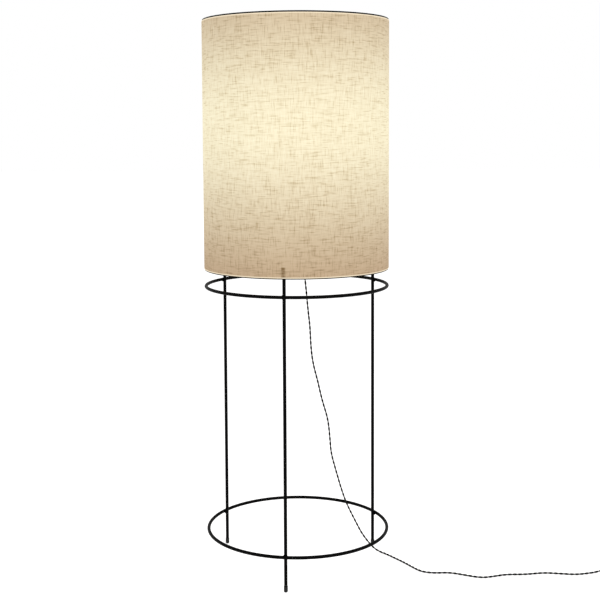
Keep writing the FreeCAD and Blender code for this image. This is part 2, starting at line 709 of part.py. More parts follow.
insert = turned(
    "lampholder_insert",
    [
        ("0", "-size.holder_drop - size.insert_flange - size.insert_drop"),
        (f"{cap_hollow} - size.ledge", "-size.holder_drop - size.insert_flange - size.insert_drop"),
        (f"{cap_hollow} - size.ledge", "-size.holder_drop - size.insert_flange"),
        (f"{cap_inner} - size.thread_gap", "-size.holder_drop - size.insert_flange"),
        (f"{cap_inner} - size.thread_gap", "-size.holder_drop"),
        (f"{skirt_inner} - size.thread_gap", "-size.holder_drop"),
        (f"{skirt_inner} - size.thread_gap", INSERT_FLOOR),
        ("0", INSERT_FLOOR),
    ],
)
shell_inner = "(size.bulb_cap_radius + size.shell_gap)"
shell_outer = f"({shell_inner} + size.shell_wall)"
screw_shell = turned(
    "lampholder_screw_shell",
    [
        (shell_inner, INSERT_FLOOR),
        (f"{shell_outer} + size.shell_flange", INSERT_FLOOR),
        (f"{shell_outer} + size.shell_flange", f"{INSERT_FLOOR} + size.shell_wall"),
        (shell_outer, f"{INSERT_FLOOR} + size.shell_wall"),
        (shell_outer, f"{INSERT_FLOOR} + size.shell_height"),
        (shell_inner, f"{INSERT_FLOOR} + size.shell_height"),
    ],
)
contact = new_body("lampholder_contact")
strip = sketch_on(contact, "XZ_Plane")
outline(
    strip,
    [
        ("-size.contact_reach", INSERT_FLOOR),
        ("-size.contact_pad * 1.5", INSERT_FLOOR),
        ("-size.contact_pad + size.contact_strip", "-size.contact_depth - size.contact_strip"),
        ("size.contact_pad", "-size.contact_depth - size.contact_strip"),
        ("size.contact_pad", "-size.contact_depth"),
        ("-size.contact_pad", "-size.contact_depth"),
        ("-size.contact_pad * 1.5 - size.contact_strip", f"{INSERT_FLOOR} + size.contact_strip"),
        ("-size.contact_reach", f"{INSERT_FLOOR} + size.contact_strip"),
    ],
)
feature(contact, "Pad", strip, Length="size.contact_width").Midplane = True
for piece in (skirt, cap, insert, screw_shell, contact):
    node(place(piece, z=HUB_FOOT))

# Two ring nuts on the skirt's thread clamp the hub's plate. Each has grip notches round its flange.
NOTCHES = 12
for name, height, angle in (("upper", f"{HUB_FOOT} + size.hub_plate", 0), ("lower", HUB_FOOT, 180)):
    bore = "(size.holder_radius + size.thread_gap)"
    nut = turned(
        f"ring_nut_{name}",
        [
            (bore, "0"),
            ("size.nut_radius", "0"),
            ("size.nut_radius", "size.nut_flange"),
            (f"{bore} + size.nut_collar", "size.nut_flange"),
            (f"{bore} + size.nut_collar", "size.nut_height"),
            (bore, "size.nut_height"),
        ],
    )
    notch = sketch_on(nut, "XY_Plane")
    circle(notch, "size.nut_radius + size.nut_notch / 2", "0", "size.nut_notch")
    notch_cut = cut(nut, "Pocket", notch, upwards=True, Length="size.nut_flange")
    pattern = nut.newObject("PartDesign::PolarPattern", nut.Name + "_notches")
    pattern.Originals = [notch_cut]
    pattern.Axis = (notch, ["N_Axis"])
    pattern.Angle = 360
    pattern.Occurrences = NOTCHES
    nut.Tip = pattern
    node(place(nut, z=height, axis=Vector(1, 0, 0), angle=angle))

nozzle_head = f"({BOSS_FOOT} - size.grip_hex)"
grip = turned(
    "cord_grip",
    [
        ("0", GRIP_FOOT),
        ("size.grip_narrow", GRIP_FOOT),
        ("size.grip_wide", nozzle_head),
        ("size.nipple_radius", BOSS_FOOT),
        ("size.nipple_radius", f"{BOSS_FOOT} + size.nipple_length"),
        ("0", f"{BOSS_FOOT} + size.nipple_length"),
    ],
)
hexagon = sketch_on(grip, "XY_Plane", nozzle_head)
hex_radius = "(size.grip_flats / 2 / cos(30))"
outline(hexagon, [(f"{hex_radius} * cos({30 + 60 * n})", f"{hex_radius} * sin({30 + 60 * n})") for n in range(6)])
feature(grip, "Pad", hexagon, Length="size.grip_hex")
node(place(grip, z=HUB_FOOT))

# ---- bulb, with heights counted from its contact tip ---------------------------------------------------------

ball_centre = "(size.bulb_length - size.bulb_radius)"


def glass_corners(wall, head):
    """The glass profile moved inwards by wall: neck, cone, and the ball down from its crown."""
    ball = f"(size.bulb_radius - {wall})"
    cone_head = (f"{ball} * cos(size.bulb_flare)", f"{ball_centre} - {ball} * sin(size.bulb_flare)")
    cone_foot = (
        f"{cone_head[0]} - size.bulb_cone * sin(size.bulb_flare)",
        f"{cone_head[1]} - size.bulb_cone * cos(size.bulb_flare)",
    )
    neck = f"size.bulb_neck - {wall}"
    return [
        ("0", head),
        (neck, head),
        (neck, "size.bulb_neck_top"),
        cone_foot,
        (*cone_head, ball),
        (ball, ball_centre, ball),
        ("0", f"{ball_centre} + {ball}"),
    ]


glass = turned("bulb_glass", glass_corners("0", "size.bulb_neck_foot"))
hollow = sketch_on(glass, "XZ_Plane")
outline(hollow, glass_corners("size.bulb_glass", "size.bulb_neck_foot - size.bulb_glass"))
cut(glass, "Groove", hollow)
bulb_cap = turned(
    "bulb_cap",
    [
        ("size.insulator_radius", "size.bulb_cap_base"),
        ("size.bulb_cap_radius", "size.bulb_cap_foot"),
        ("size.bulb_cap_radius", "size.bulb_cap_rim"),
        ("size.bulb_neck", "size.bulb_cap_rim"),
        ("size.bulb_neck", "size.bulb_cap_foot"),
        ("size.insulator_radius", "size.insulator_top"),
    ],
)
insulator = turned(
    "bulb_insulator",
    [
        ("0", "size.tip_height"),
        ("size.tip_radius", "size.tip_height"),
        ("size.insulator_radius", "size.bulb_cap_base"),
        ("size.insulator_radius", "size.insulator_top"),
        ("0", "size.insulator_top"),
    ],
)
tip = turned(
    "bulb_tip",
    [("0", "0"), ("size.tip_radius", "0"), ("size.tip_radius", "size.tip_height"), ("0", "size.tip_height")],
)
column = turned(
    "bulb_column",
    [
        ("0", "size.insulator_top"),
        ("size.column_foot", "size.insulator_top"),
        ("size.column_foot", "size.bulb_neck_foot"),
        ("size.column_radius", "size.bulb_neck_top"),
        ("size.column_radius", "size.column_top"),
        ("0", "size.column_top"),
    ],
)
for piece in (glass, bulb_cap, insulator, tip, column):
    node(place(piece, z=BULB_TIP))

# ---- cord ------------------------------------------------------------------------------------------------------

floor = value("size.cord / 2")
axis_height = value("size.switch_split")
grip_end = value(f"{HUB_FOOT} + {GRIP_FOOT}")
switch_end = value("size.switch_reach + size.switch_half + size.sleeve_length")

# From the cord grip down to the floor, out past the rear right leg and along the floor to the switch.
LEAD = [
    (0, 0, grip_end),
    (0, 0, grip_end - 24),
    (2, 0.4, 865),
    (7, 1.5, 812),
    (14, 3, 757),
    (22.2, 5, 690),
    (27.3, 6, 628),
    (32.5, 8, 583),
    (34.3, 8.6, 533),
    (39.4, 9.8, 491),
    (51, 12.5, 447),
    (61.5, 15.2, 398),
    (76.3, 19, 350),
    (81.2, 20.2, 300),
    (83.6, 20.9, 262),
    (97, 24.2, 213),
    (109, 27.2, 170),
    (122, 30, 131),
    (143.5, 35, 86),
    (160, 39.5, 52),
    (177, 43, 27),
    (193, 43, 9),
    (208, 36, floor),
    (221.5, 21.5, floor),
    (237, -1, floor),
    (262, -37, floor),
    (281, -71, floor),
    (299, -97.5, floor),
    (327, -106.5, floor),
    (365, -103, floor),
    (402, -121, floor),
    (437, -137.5, floor),
    (470, -128, floor),
    (499, -117, floor),
    (545, -118, floor),
    (590, -107.5, floor),
    (630, -114, floor),
    (665, -120.5, floor),
    (697, -112.5, floor),
    (715, -108.5, 3.4),
    (730, SWITCH_Y, axis_height),
    (SWITCH_X - switch_end, SWITCH_Y, axis_height),
]
lead = tube("cord_lead", rounded_route([Vector(*p) for p in LEAD], "cord_lead"), value("size.cord"))
node(lead)

# The coil: a lower layer winds inwards, the inmost half turn climbs, and an upper layer winds outwards.
# Its tube starts and ends with a straight of one diameter.
INWARD_TURNS = 2.75
CLIMB_TURNS = 0.5
COIL_TURNS = 2 * INWARD_TURNS + CLIMB_TURNS
coil_outer, coil_pitch, coil_layer = (value(f"size.coil_{name}") for name in ("radius", "pitch", "layer"))


def coil_radius_at(turn):
    wound = min(turn, COIL_TURNS - turn, INWARD_TURNS)
    return coil_outer - coil_pitch * wound


def coil_height_at(turn):
    return floor + coil_layer * eased((turn - INWARD_TURNS) / CLIMB_TURNS)


cord = value("size.cord")
turns, entry, leaving = wound_turns(
    Vector(COIL_X, COIL_Y, 0), coil_radius_at, coil_height_at, COIL_TURNS, way=-1, parts=4
)
coil_start = entry[0] - entry[1] * cord
coil_end = leaving[0] + leaving[1] * cord
coil_route = Part.Wire(
    [Part.LineSegment(coil_start, entry[0]).toShape()]
    + turns
    + [Part.LineSegment(leaving[0], coil_end).toShape()]
)
node(tube("cord_coil", coil_route, cord))
print(f"cord_coil: least gap to itself {least_gap(coil_route, cord, 3 * cord):.2f} mm")

# From the switch round to the coil's lower layer, and from its upper layer down to the plug.
plug_height = value("size.plug_thickness / 2")
LINK = [
    Vector(SWITCH_X + switch_end, SWITCH_Y, axis_height),
    Vector(SWITCH_X + switch_end + 11, SWITCH_Y, axis_height),
    Vector(coil_start.x - 12, SWITCH_Y - 5, 4),
    Vector(coil_start.x - 1.5, SWITCH_Y - 19, floor),
    coil_start - entry[1] * 14,
    coil_start,
]
TAIL = [
    coil_end,
    coil_end + leaving[1] * 12,
    Vector(PLUG_X, PLUG_Y + 12, plug_height),
    Vector(PLUG_X, PLUG_Y, plug_height),
]
node(tube("cord_link", rounded_route(LINK, "cord_link"), cord))
node(tube("cord_tail", rounded_route(TAIL, "cord_tail"), cord))

# ---- foot switch, with its length along X and its middle at SWITCH_X, SWITCH_Y -----------------------------------


def stadium(sketch, inset):
    """The switch's outline, moved inwards by an expression."""
    half = f"(size.switch_half - {inset})"
    reach = "size.switch_reach"
    outline(
        sketch,
        [
            (f"-{reach}", f"-{half}"),
            (reach, f"-{half}", half),
            (f"{reach} + {half}", "0", half),
            (reach, half),
            (f"-{reach}", half, half),
            (f"-{reach} - {half}", "0", half),
        ],
    )


def at_screws(sketch, radius):
    """A circle at each of the two cover screws."""
    for hand in ("", "-"):
        circle(sketch, f"{hand}size.screw_x", f"{hand}size.screw_y", radius)


def at_switch(thing, **places):
    return node(place(thing, x=f"{SWITCH_X}", y=f"{SWITCH_Y}", **places))


def cord_hole(body):
    """The round hole along the switch, half in its base and half in its cover, that holds the sleeves."""
    hole = sketch_on(body, "YZ_Plane")
    circle(hole, "0", "size.switch_split", "size.sleeve_neck")
    cut(body, "Pocket", hole, through=True)


base = new_body("switch_base")
plate = sketch_on(base, "XY_Plane")
stadium(plate, "0")
feature(base, "Pad", plate, Length="size.switch_split")
tray = sketch_on(base, "XY_Plane", "size.switch_floor")
stadium(tray, "size.switch_wall")
cut(base, "Pocket", tray, upwards=True, Length="size.switch_split - size.switch_floor")
posts = sketch_on(base, "XY_Plane", "size.switch_floor")
at_screws(posts, "size.screw_post")
feature(base, "Pad", posts, Length="size.switch_split - size.switch_floor")
holes = sketch_on(base, "XY_Plane")
at_screws(holes, "size.screw_shank + size.screw_gap")
cut(base, "Pocket", holes, through=True)
recess = sketch_on(base, "XY_Plane")
at_screws(recess, "size.screw_head + size.screw_gap")
cut(base, "Pocket", recess, upwards=True, Length="size.screw_head_height")
cord_hole(base)
at_switch(base)

cover = new_body("switch_cover")
dome = sketch_on(cover, "XY_Plane", "size.switch_split")
stadium(dome, "0")
feature(cover, "Pad", dome, Length="size.switch_height - size.switch_split")
round_edges(
    cover,
    "size.switch_round",
    lambda edge: abs(edge.CenterOfMass.z - value("size.switch_height")) < 0.01,
)
inside = sketch_on(cover, "XY_Plane", "size.switch_split")
stadium(inside, "size.switch_wall")
inside_height = "(size.switch_height - size.switch_wall - size.switch_split)"
cut(cover, "Pocket", inside, upwards=True, Length=inside_height)
posts = sketch_on(cover, "XY_Plane", "size.switch_split")
at_screws(posts, "size.screw_post")
feature(cover, "Pad", posts, Length=inside_height)
pilots = sketch_on(cover, "XY_Plane", "size.switch_split")
at_screws(pilots, "size.screw_shank")
screw_top = "(size.screw_head_height + size.screw_length)"
cut(cover, "Pocket", pilots, upwards=True, Length=f"{screw_top} - size.switch_split")
opening = sketch_on(cover, "XY_Plane", "size.switch_height")
circle(opening, "0", "0", "size.button_radius + size.button_gap")
cut(cover, "Pocket", opening, Length="size.switch_wall * 2")
cord_hole(cover)
at_switch(cover)

screws = []
for hand in ("", "-"):
    screw = turned(
        "switch_screw",
        [
            ("0", "0"),
            ("size.screw_head", "0"),
            ("size.screw_head", "size.screw_head_height"),
            ("size.screw_shank", "size.screw_head_height"),
            ("size.screw_shank", screw_top),
            ("0", screw_top),
        ],
    )
    screws.append(place(screw, x=f"{hand}size.screw_x", y=f"{hand}size.screw_y"))
at_switch(group("switch_screws", screws))

rim_head = "(size.switch_height - size.switch_wall - size.button_stop)"
rim_foot = f"({rim_head} - size.button_rim_height)"
bridge_foot = f"({rim_foot} - size.bridge_strip)"
rim_radius = "size.button_radius + size.button_gap + size.button_rim"
button_head = "(size.switch_height + size.button_proud)"
button = turned(
    "switch_button",
    [
        ("0", f"{rim_foot} - size.stem_length"),
        ("size.stem_radius", f"{rim_foot} - size.stem_length"),
        ("size.stem_radius", rim_foot),
        (rim_radius, rim_foot),
        (rim_radius, rim_head),
        ("size.button_radius", rim_head),
        ("size.button_radius", f"{button_head} - size.button_round", "size.button_round"),
        ("size.button_radius - size.button_round", button_head),
        ("0", button_head),
    ],
)
at_switch(button)

bridge = new_body("switch_bridge")
blade = sketch_on(bridge, "XY_Plane", bridge_foot)
x, y = "size.bridge_length / 2", "size.bridge_width / 2"
outline(blade, [(f"-{x}", f"-{y}"), (x, f"-{y}"), (x, y), (f"-{x}", y)])
feature(bridge, "Pad", blade, Length="size.bridge_strip")
stem_hole = sketch_on(bridge, "XY_Plane", bridge_foot)
circle(stem_hole, "0", "0", "size.stem_radius")
cut(bridge, "Pocket", stem_hole, through=True)
at_switch(bridge)

terminals = []
for hand in (1, -1):
    terminal = doc.addObject("Part::Box", "terminal")
    terminal.setExpression("Length", "size.terminal_length")
    terminal.setExpression("Width", "size.terminal_width")
    terminal.setExpression("Height", f"{bridge_foot} - size.travel - size.button_stop - size.switch_floor")
    near = "size.terminal_inner" if hand > 0 else "-size.terminal_inner - size.terminal_length"
    terminals.append(place(terminal, x=near, y="-size.terminal_width / 2", z="size.switch_floor"))
at_switch(group("switch_terminals", terminals))

SPRING_TURNS = 4.0
FLAT_TURNS = 0.5
wire = value("size.spring_wire")
spring_foot = value("size.switch_floor") + wire / 2
spring_rise = value(bridge_foot) - wire / 2 - spring_foot


def spring_height_at(turn):
    return spring_foot + spring_rise * eased((turn - FLAT_TURNS) / (SPRING_TURNS - 2 * FLAT_TURNS))


spring_turns, _, _ = wound_turns(
    Vector(), lambda turn: value("size.spring_radius"), spring_height_at, SPRING_TURNS, way=1, parts=2
)
spring = tube("switch_spring", Part.Wire(spring_turns), wire)
at_switch(spring)

for name, hand, angle in (("in", "-", -90), ("out", "", 90)):
    sleeve = turned(
        f"switch_sleeve_{name}",
        [
            ("0", "-size.sleeve_seat - size.sleeve_flange"),
            ("size.sleeve_wide", "-size.sleeve_seat - size.sleeve_flange"),
            ("size.sleeve_wide", "-size.sleeve_seat"),
            ("size.sleeve_neck", "-size.sleeve_seat"),
            ("size.sleeve_neck", "0"),
            ("size.sleeve_wide", "0"),
            ("size.sleeve_narrow", "size.sleeve_length"),
            ("0", "size.sleeve_length"),
        ],
    )
    end = f"{SWITCH_X} + ({hand}(size.switch_reach + size.switch_half))"
    node(place(sleeve, x=end, y=f"{SWITCH_Y}", z="size.switch_split", axis=Vector(0, 1, 0), angle=angle))

# ---- plug: it lies flat, pins to the front; its own Z runs from the strain relief to the pins -------------------------


def rounded_block(sketch, width, thickness):
    x, y, r = f"({width} / 2)", f"({thickness} / 2)", "size.plug_round"
    outline(
        sketch,
        [
            (f"-{x} + {r}", f"-{y}"),
            (f"{x} - {r}", f"-{y}", r),
            (x, f"-{y} + {r}"),
            (x, f"{y} - {r}", r),
            (f"{x} - {r}", y),
            (f"-{x} + {r}", y, r),
            (f"-{x}", f"{y} - {r}"),
            (f"-{x}", f"-{y} + {r}", r),
        ],
    )


def at_plug(thing):
    spot = {"x": f"{PLUG_X}", "y": f"{PLUG_Y} - size.relief_length", "z": "size.plug_thickness / 2"}
    return node(place(thing, axis=Vector(1, 0, 0), angle=90, **spot))


plug = new_body("plug_body")
rear = sketch_on(plug, "XY_Plane")
rounded_block(rear, "size.plug_rear_width", "size.plug_rear_thickness")
waist = sketch_on(plug, "XY_Plane", "size.plug_waist_at")
rounded_block(waist, "size.plug_waist_width", "size.plug_waist_thickness")
face = sketch_on(plug, "XY_Plane", "size.plug_grip")
rounded_block(face, "size.plug_width", "size.plug_thickness")
taper = feature(plug, "AdditiveLoft", rear)
taper.Sections = [waist, face]
front = sketch_on(plug, "XY_Plane", "size.plug_grip")
rounded_block(front, "size.plug_width", "size.plug_thickness")
feature(plug, "Pad", front, Length="size.plug_face")
at_plug(plug)

pins, pin_sleeves = [], []
for hand in ("", "-"):
    pin = turned(
        "plug_pin",
        [
            ("0", "0"),
            ("size.pin_core", "0"),
            ("size.pin_core", "size.pin_sleeve"),
            ("size.pin_radius", "size.pin_sleeve"),
            ("size.pin_radius", "size.pin_length - size.pin_radius", "size.pin_radius"),
            ("0", "size.pin_length"),
        ],
    )
    sleeve = band("plug_pin_sleeve", "size.pin_core", "size.pin_radius", "0", "size.pin_sleeve")
    for piece, pieces in ((pin, pins), (sleeve, pin_sleeves)):
        pieces.append(place(piece, x=f"{hand}size.pin_pitch / 2", z="size.plug_grip + size.plug_face"))
at_plug(group("plug_pins", pins))
at_plug(group("plug_pin_sleeves", pin_sleeves))

# The strain relief's ribs stand on a taper; a groove follows each rib but the last.
RIBS = 5
RIB_SHARE = 0.6
ribs = []
for rib in range(RIBS):
    steps = ((0.0, "0"), (RIB_SHARE, "0"), (RIB_SHARE, "size.relief_groove"), (1.0, "size.relief_groove"))
    for share, depth in steps:
        if rib == RIBS - 1 and share > 0:
            break
        along = (rib + share) / RIBS
        radius = f"size.relief_narrow + (size.relief_wide - size.relief_narrow) * {along} - {depth}"
        ribs.append((radius, f"size.relief_length * ({along} - 1)"))
relief = turned(
    "plug_relief",
    [("0", "-size.relief_length")] + ribs + [("size.relief_wide", "0"), ("0", "0")],
)
at_plug(relief)

# ---- check every piece, then write it ---------------------------------------------------------------------------------

doc.recompute()
for thing in doc.Objects:
    if "Invalid" in thing.State or "Error" in thing.State:
        raise ValueError(f"{thing.Label} failed: {thing.State}")
for thing in nodes:
    shape = thing.Shape
    if shape.isNull() or not shape.isValid() or not shape.Solids:
        raise ValueError(f"{thing.Label} has no sound solid")

os.makedirs("parts", exist_ok=True)
for thing in nodes:
    thing.Shape.exportStep(f"parts/{thing.Label}.step")
    print(f"{thing.Label}: {len(thing.Shape.Solids)} solid(s), {thing.Shape.Volume:.1f} mm3")
print(f"{len(nodes)} nodes")
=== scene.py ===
import json
import math
import bmesh
import bpy
import numpy as np
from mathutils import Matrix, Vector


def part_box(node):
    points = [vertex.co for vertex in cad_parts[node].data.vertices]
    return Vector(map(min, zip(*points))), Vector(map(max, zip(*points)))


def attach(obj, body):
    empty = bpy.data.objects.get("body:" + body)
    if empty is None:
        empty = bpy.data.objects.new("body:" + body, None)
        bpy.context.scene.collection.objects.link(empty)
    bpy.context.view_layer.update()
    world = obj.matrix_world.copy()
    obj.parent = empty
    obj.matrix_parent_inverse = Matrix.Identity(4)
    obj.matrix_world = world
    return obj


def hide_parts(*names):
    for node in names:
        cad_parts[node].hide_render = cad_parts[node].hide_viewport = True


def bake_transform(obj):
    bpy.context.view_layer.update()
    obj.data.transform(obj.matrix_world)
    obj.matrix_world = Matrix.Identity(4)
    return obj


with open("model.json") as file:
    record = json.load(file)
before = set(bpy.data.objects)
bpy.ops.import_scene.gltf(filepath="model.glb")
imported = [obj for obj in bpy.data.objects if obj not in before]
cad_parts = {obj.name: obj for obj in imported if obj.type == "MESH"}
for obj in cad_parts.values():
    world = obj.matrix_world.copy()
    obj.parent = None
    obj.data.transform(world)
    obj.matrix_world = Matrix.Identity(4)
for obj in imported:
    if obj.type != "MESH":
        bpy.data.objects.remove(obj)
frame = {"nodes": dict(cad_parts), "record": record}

# Column floor lamp, in metres: +Z up, the floor at 0, the lamp's axis at x = y = 0, -Y to the front.
# A linen drum shade on a wire stand, a lampholder with its bulb inside, and a twisted textile cord.

TAU = 2 * math.pi
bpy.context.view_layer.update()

# ---- camera --------------------------------------------------------------------------------------

camera_data = bpy.data.cameras.new("camera")
camera_data.sensor_width = 36.0
camera_data.lens = 68.675
camera_data.shift_x = 0.0069
camera_data.shift_y = -0.12016
camera = bpy.data.objects.new("camera", camera_data)
camera.location = (0.0, -2.78376, 1.0576)
camera.rotation_euler = (math.radians(90 - 4.7009), math.radians(0.2964), 0.0)
bpy.context.scene.collection.objects.link(camera)
bpy.context.scene.camera = camera

# ---- sizes that several pieces share -------------------------------------------------------------

SHADE_RADIUS = 0.225
SHADE_FOOT, SHADE_HEAD = 0.730, 1.330
CLOTH_FOOT, CLOTH_HEAD = 0.7325, 1.3265
ROD = 0.004
RING_RADIUS = 0.221
LEG_CIRCLE = 0.213
LEG_ANGLES = {"front": -97.7, "rear_right": 25.5, "rear_left": 149.1}
LEG_FOOT, LEG_TOP = 0.003, 0.750
RING_HEIGHTS = {"top": 0.689, "bottom": 0.085}
HUB_FOOT = 1.005
BULB_TIP = 0.999
CORD = 0.0048
STRAND = 0.00132
LAY = 0.025
SWITCH = (0.796, -0.107)
SLEEVE_HEIGHT = 0.007
COIL = (0.848, -0.166)
PLUG = (0.8835, -0.204)
PLUG_WIDE, PLUG_THICK = 0.01765, 0.00685
FLOOR_REACH, FLOOR_HEIGHT = 30, -0.0002
SOFT_LIGHT = 0.62
FLOOR_GLOW = 0.62

# ---- materials: small steps that build a node tree -----------------------------------------------


class Finish:
    """A procedural material. Each step adds one shader node; a value that is a socket is linked, and a
    plain one is set on the node itself."""

    def __init__(self, name):
        self.material = bpy.data.materials.new(name)
        self.material.use_nodes = True
        self.tree = self.material.node_tree
        self.shader = self.tree.nodes["Principled BSDF"]
        self.place = self.node("ShaderNodeTexCoord").outputs["Object"]

    def node(self, kind, values=None, **settings):
        made = self.tree.nodes.new(kind)
        for name, setting in settings.items():
            setattr(made, name, setting)
        for key, entry in (values or {}).items():
            self.feed(made.inputs[key], entry)
        return made

    def feed(self, socket, entry):
        if isinstance(entry, bpy.types.NodeSocket):
            self.tree.links.new(entry, socket)
        else:
            socket.default_value = entry

    def maths(self, operation, *entries):
        return self.node("ShaderNodeMath", dict(enumerate(entries)), operation=operation).outputs[0]

    def times(self, first, second):
        return self.maths("MULTIPLY", first, second)

    def plus(self, first, second):
        return self.maths("ADD", first, second)

    def split(self, vector):
        parts = self.node("ShaderNodeSeparateXYZ", {0: vector})
        return parts.outputs[0], parts.outputs[1], parts.outputs[2]

    def join(self, x, y, z):
        return self.node("ShaderNodeCombineXYZ", {0: x, 1: y, 2: z}).outputs[0]

    def stretched(self, vector, x, y, z):
        return self.node("ShaderNodeMapping", {"Vector": vector, "Scale": (x, y, z)}).outputs[0]

    def noise(self, vector, scale, detail=2.0, roughness=0.5):
        values = {"Vector": vector, "Scale": scale, "Detail": detail, "Roughness": roughness}
        return self.node("ShaderNodeTexNoise", values).outputs["Fac"]

    def spread(self, entry, low, high, new_low, new_high):
        """The entry's range from low to high, moved to the new range and held inside it."""
        values = {"Value": entry, "From Min": low, "From Max": high, "To Min": new_low, "To Max": new_high}
        return self.node("ShaderNodeMapRange", values).outputs[0]

    def mixed(self, share, first, second, blend="MIX"):
        """First and second colour by share."""
        values = {0: share, 6: first, 7: second}
        return self.node("ShaderNodeMix", values, data_type="RGBA", blend_type=blend).outputs[2]

    def bump(self, height, strength, distance):
        values = {"Height": height, "Strength": strength, "Distance": distance}
        self.feed(self.shader.inputs["Normal"], self.node("ShaderNodeBump", values).outputs[0])

    def set(self, **values):
        for name, entry in values.items():
            self.feed(self.shader.inputs[name.replace("_", " ")], entry)
        return self


def colour(red, green, blue):
    return (red, green, blue, 1.0)


def coated_metal(name, tone, shine, grain=900.0):
    """Powder-coated steel: a fine orange peel, and a coat that is a little duller in cloudy patches."""
    made = Finish(name)
    peel = made.noise(made.place, grain, 2.0)
    clouds = made.noise(made.place, 14.0, 3.0)
    made.set(
        Base_Color=made.mixed(clouds, colour(*tone), colour(*(1.7 * part for part in tone))),
        Roughness=made.spread(clouds, 0.3, 0.7, shine, shine + 0.14),
        Specular_IOR_Level=0.03,
    )
    made.bump(peel, 0.12, 0.0002)
    return made.material


def moulded(name, tone, shine, grain=1400.0, level=0.4):
    """Moulded plastic: fine spark grain, with the shine a little uneven from handling."""
    made = Finish(name)
    spark = made.noise(made.place, grain, 3.0, 0.6)
    handled = made.noise(made.place, 60.0, 4.0)
    made.set(
        Base_Color=made.mixed(handled, colour(*tone), colour(*(1.5 * part + 0.001 for part in tone))),
        Roughness=made.spread(handled, 0.3, 0.7, shine, shine + 0.15),
        Specular_IOR_Level=level,
    )
    made.bump(spark, 0.3, 0.00012)
    return made.material


def drawn_metal(name, tone, shine, spots):
    """Drawn or rolled metal: long fine scratches round the piece and a few dull spots."""
    made = Finish(name)
    scratches = made.noise(made.stretched(made.place, 300.0, 300.0, 5000.0), 1.0, 3.0)
    dull = made.noise(made.place, 220.0, 3.0)
    made.set(
        Base_Color=made.mixed(made.spread(dull, 0.5, 0.8, 0.0, 0.5), colour(*tone), colour(*spots)),
        Metallic=1.0,
        Roughness=made.spread(scratches, 0.3, 0.7, shine, shine + 0.2),
    )
    made.bump(scratches, 0.12, 0.0001)
    return made.material


def fired_clay(name):
    """Unglazed steatite: chalky white with fine pores."""
    made = Finish(name)
    pores = made.noise(made.place, 2600.0, 2.0)
    chalk = made.noise(made.place, 90.0, 3.0)
    made.set(Base_Color=made.mixed(chalk, colour(0.78, 0.76, 0.70), colour(0.88, 0.87, 0.83)), Roughness=0.72)
    made.bump(pores, 0.4, 0.0001)
    return made.material


def cloth_grid(made):
    """The place on the drum as the distance round it and the height, in metres."""
    x, y, z = made.split(made.place)
    round_way = made.times(made.maths("ARCTAN2", x, made.times(y, -1.0)), SHADE_RADIUS)
    return round_way, z


def glow_at(made, z, centre, reach, power):
    """What a lamp on the axis throws on the drum at a height: (1 + (distance / reach) ^ 2) ^ -power."""
    away = made.maths("DIVIDE", made.maths("SUBTRACT", z, centre), reach)
    return made.maths("POWER", made.plus(made.times(away, away), 1.0), -power)


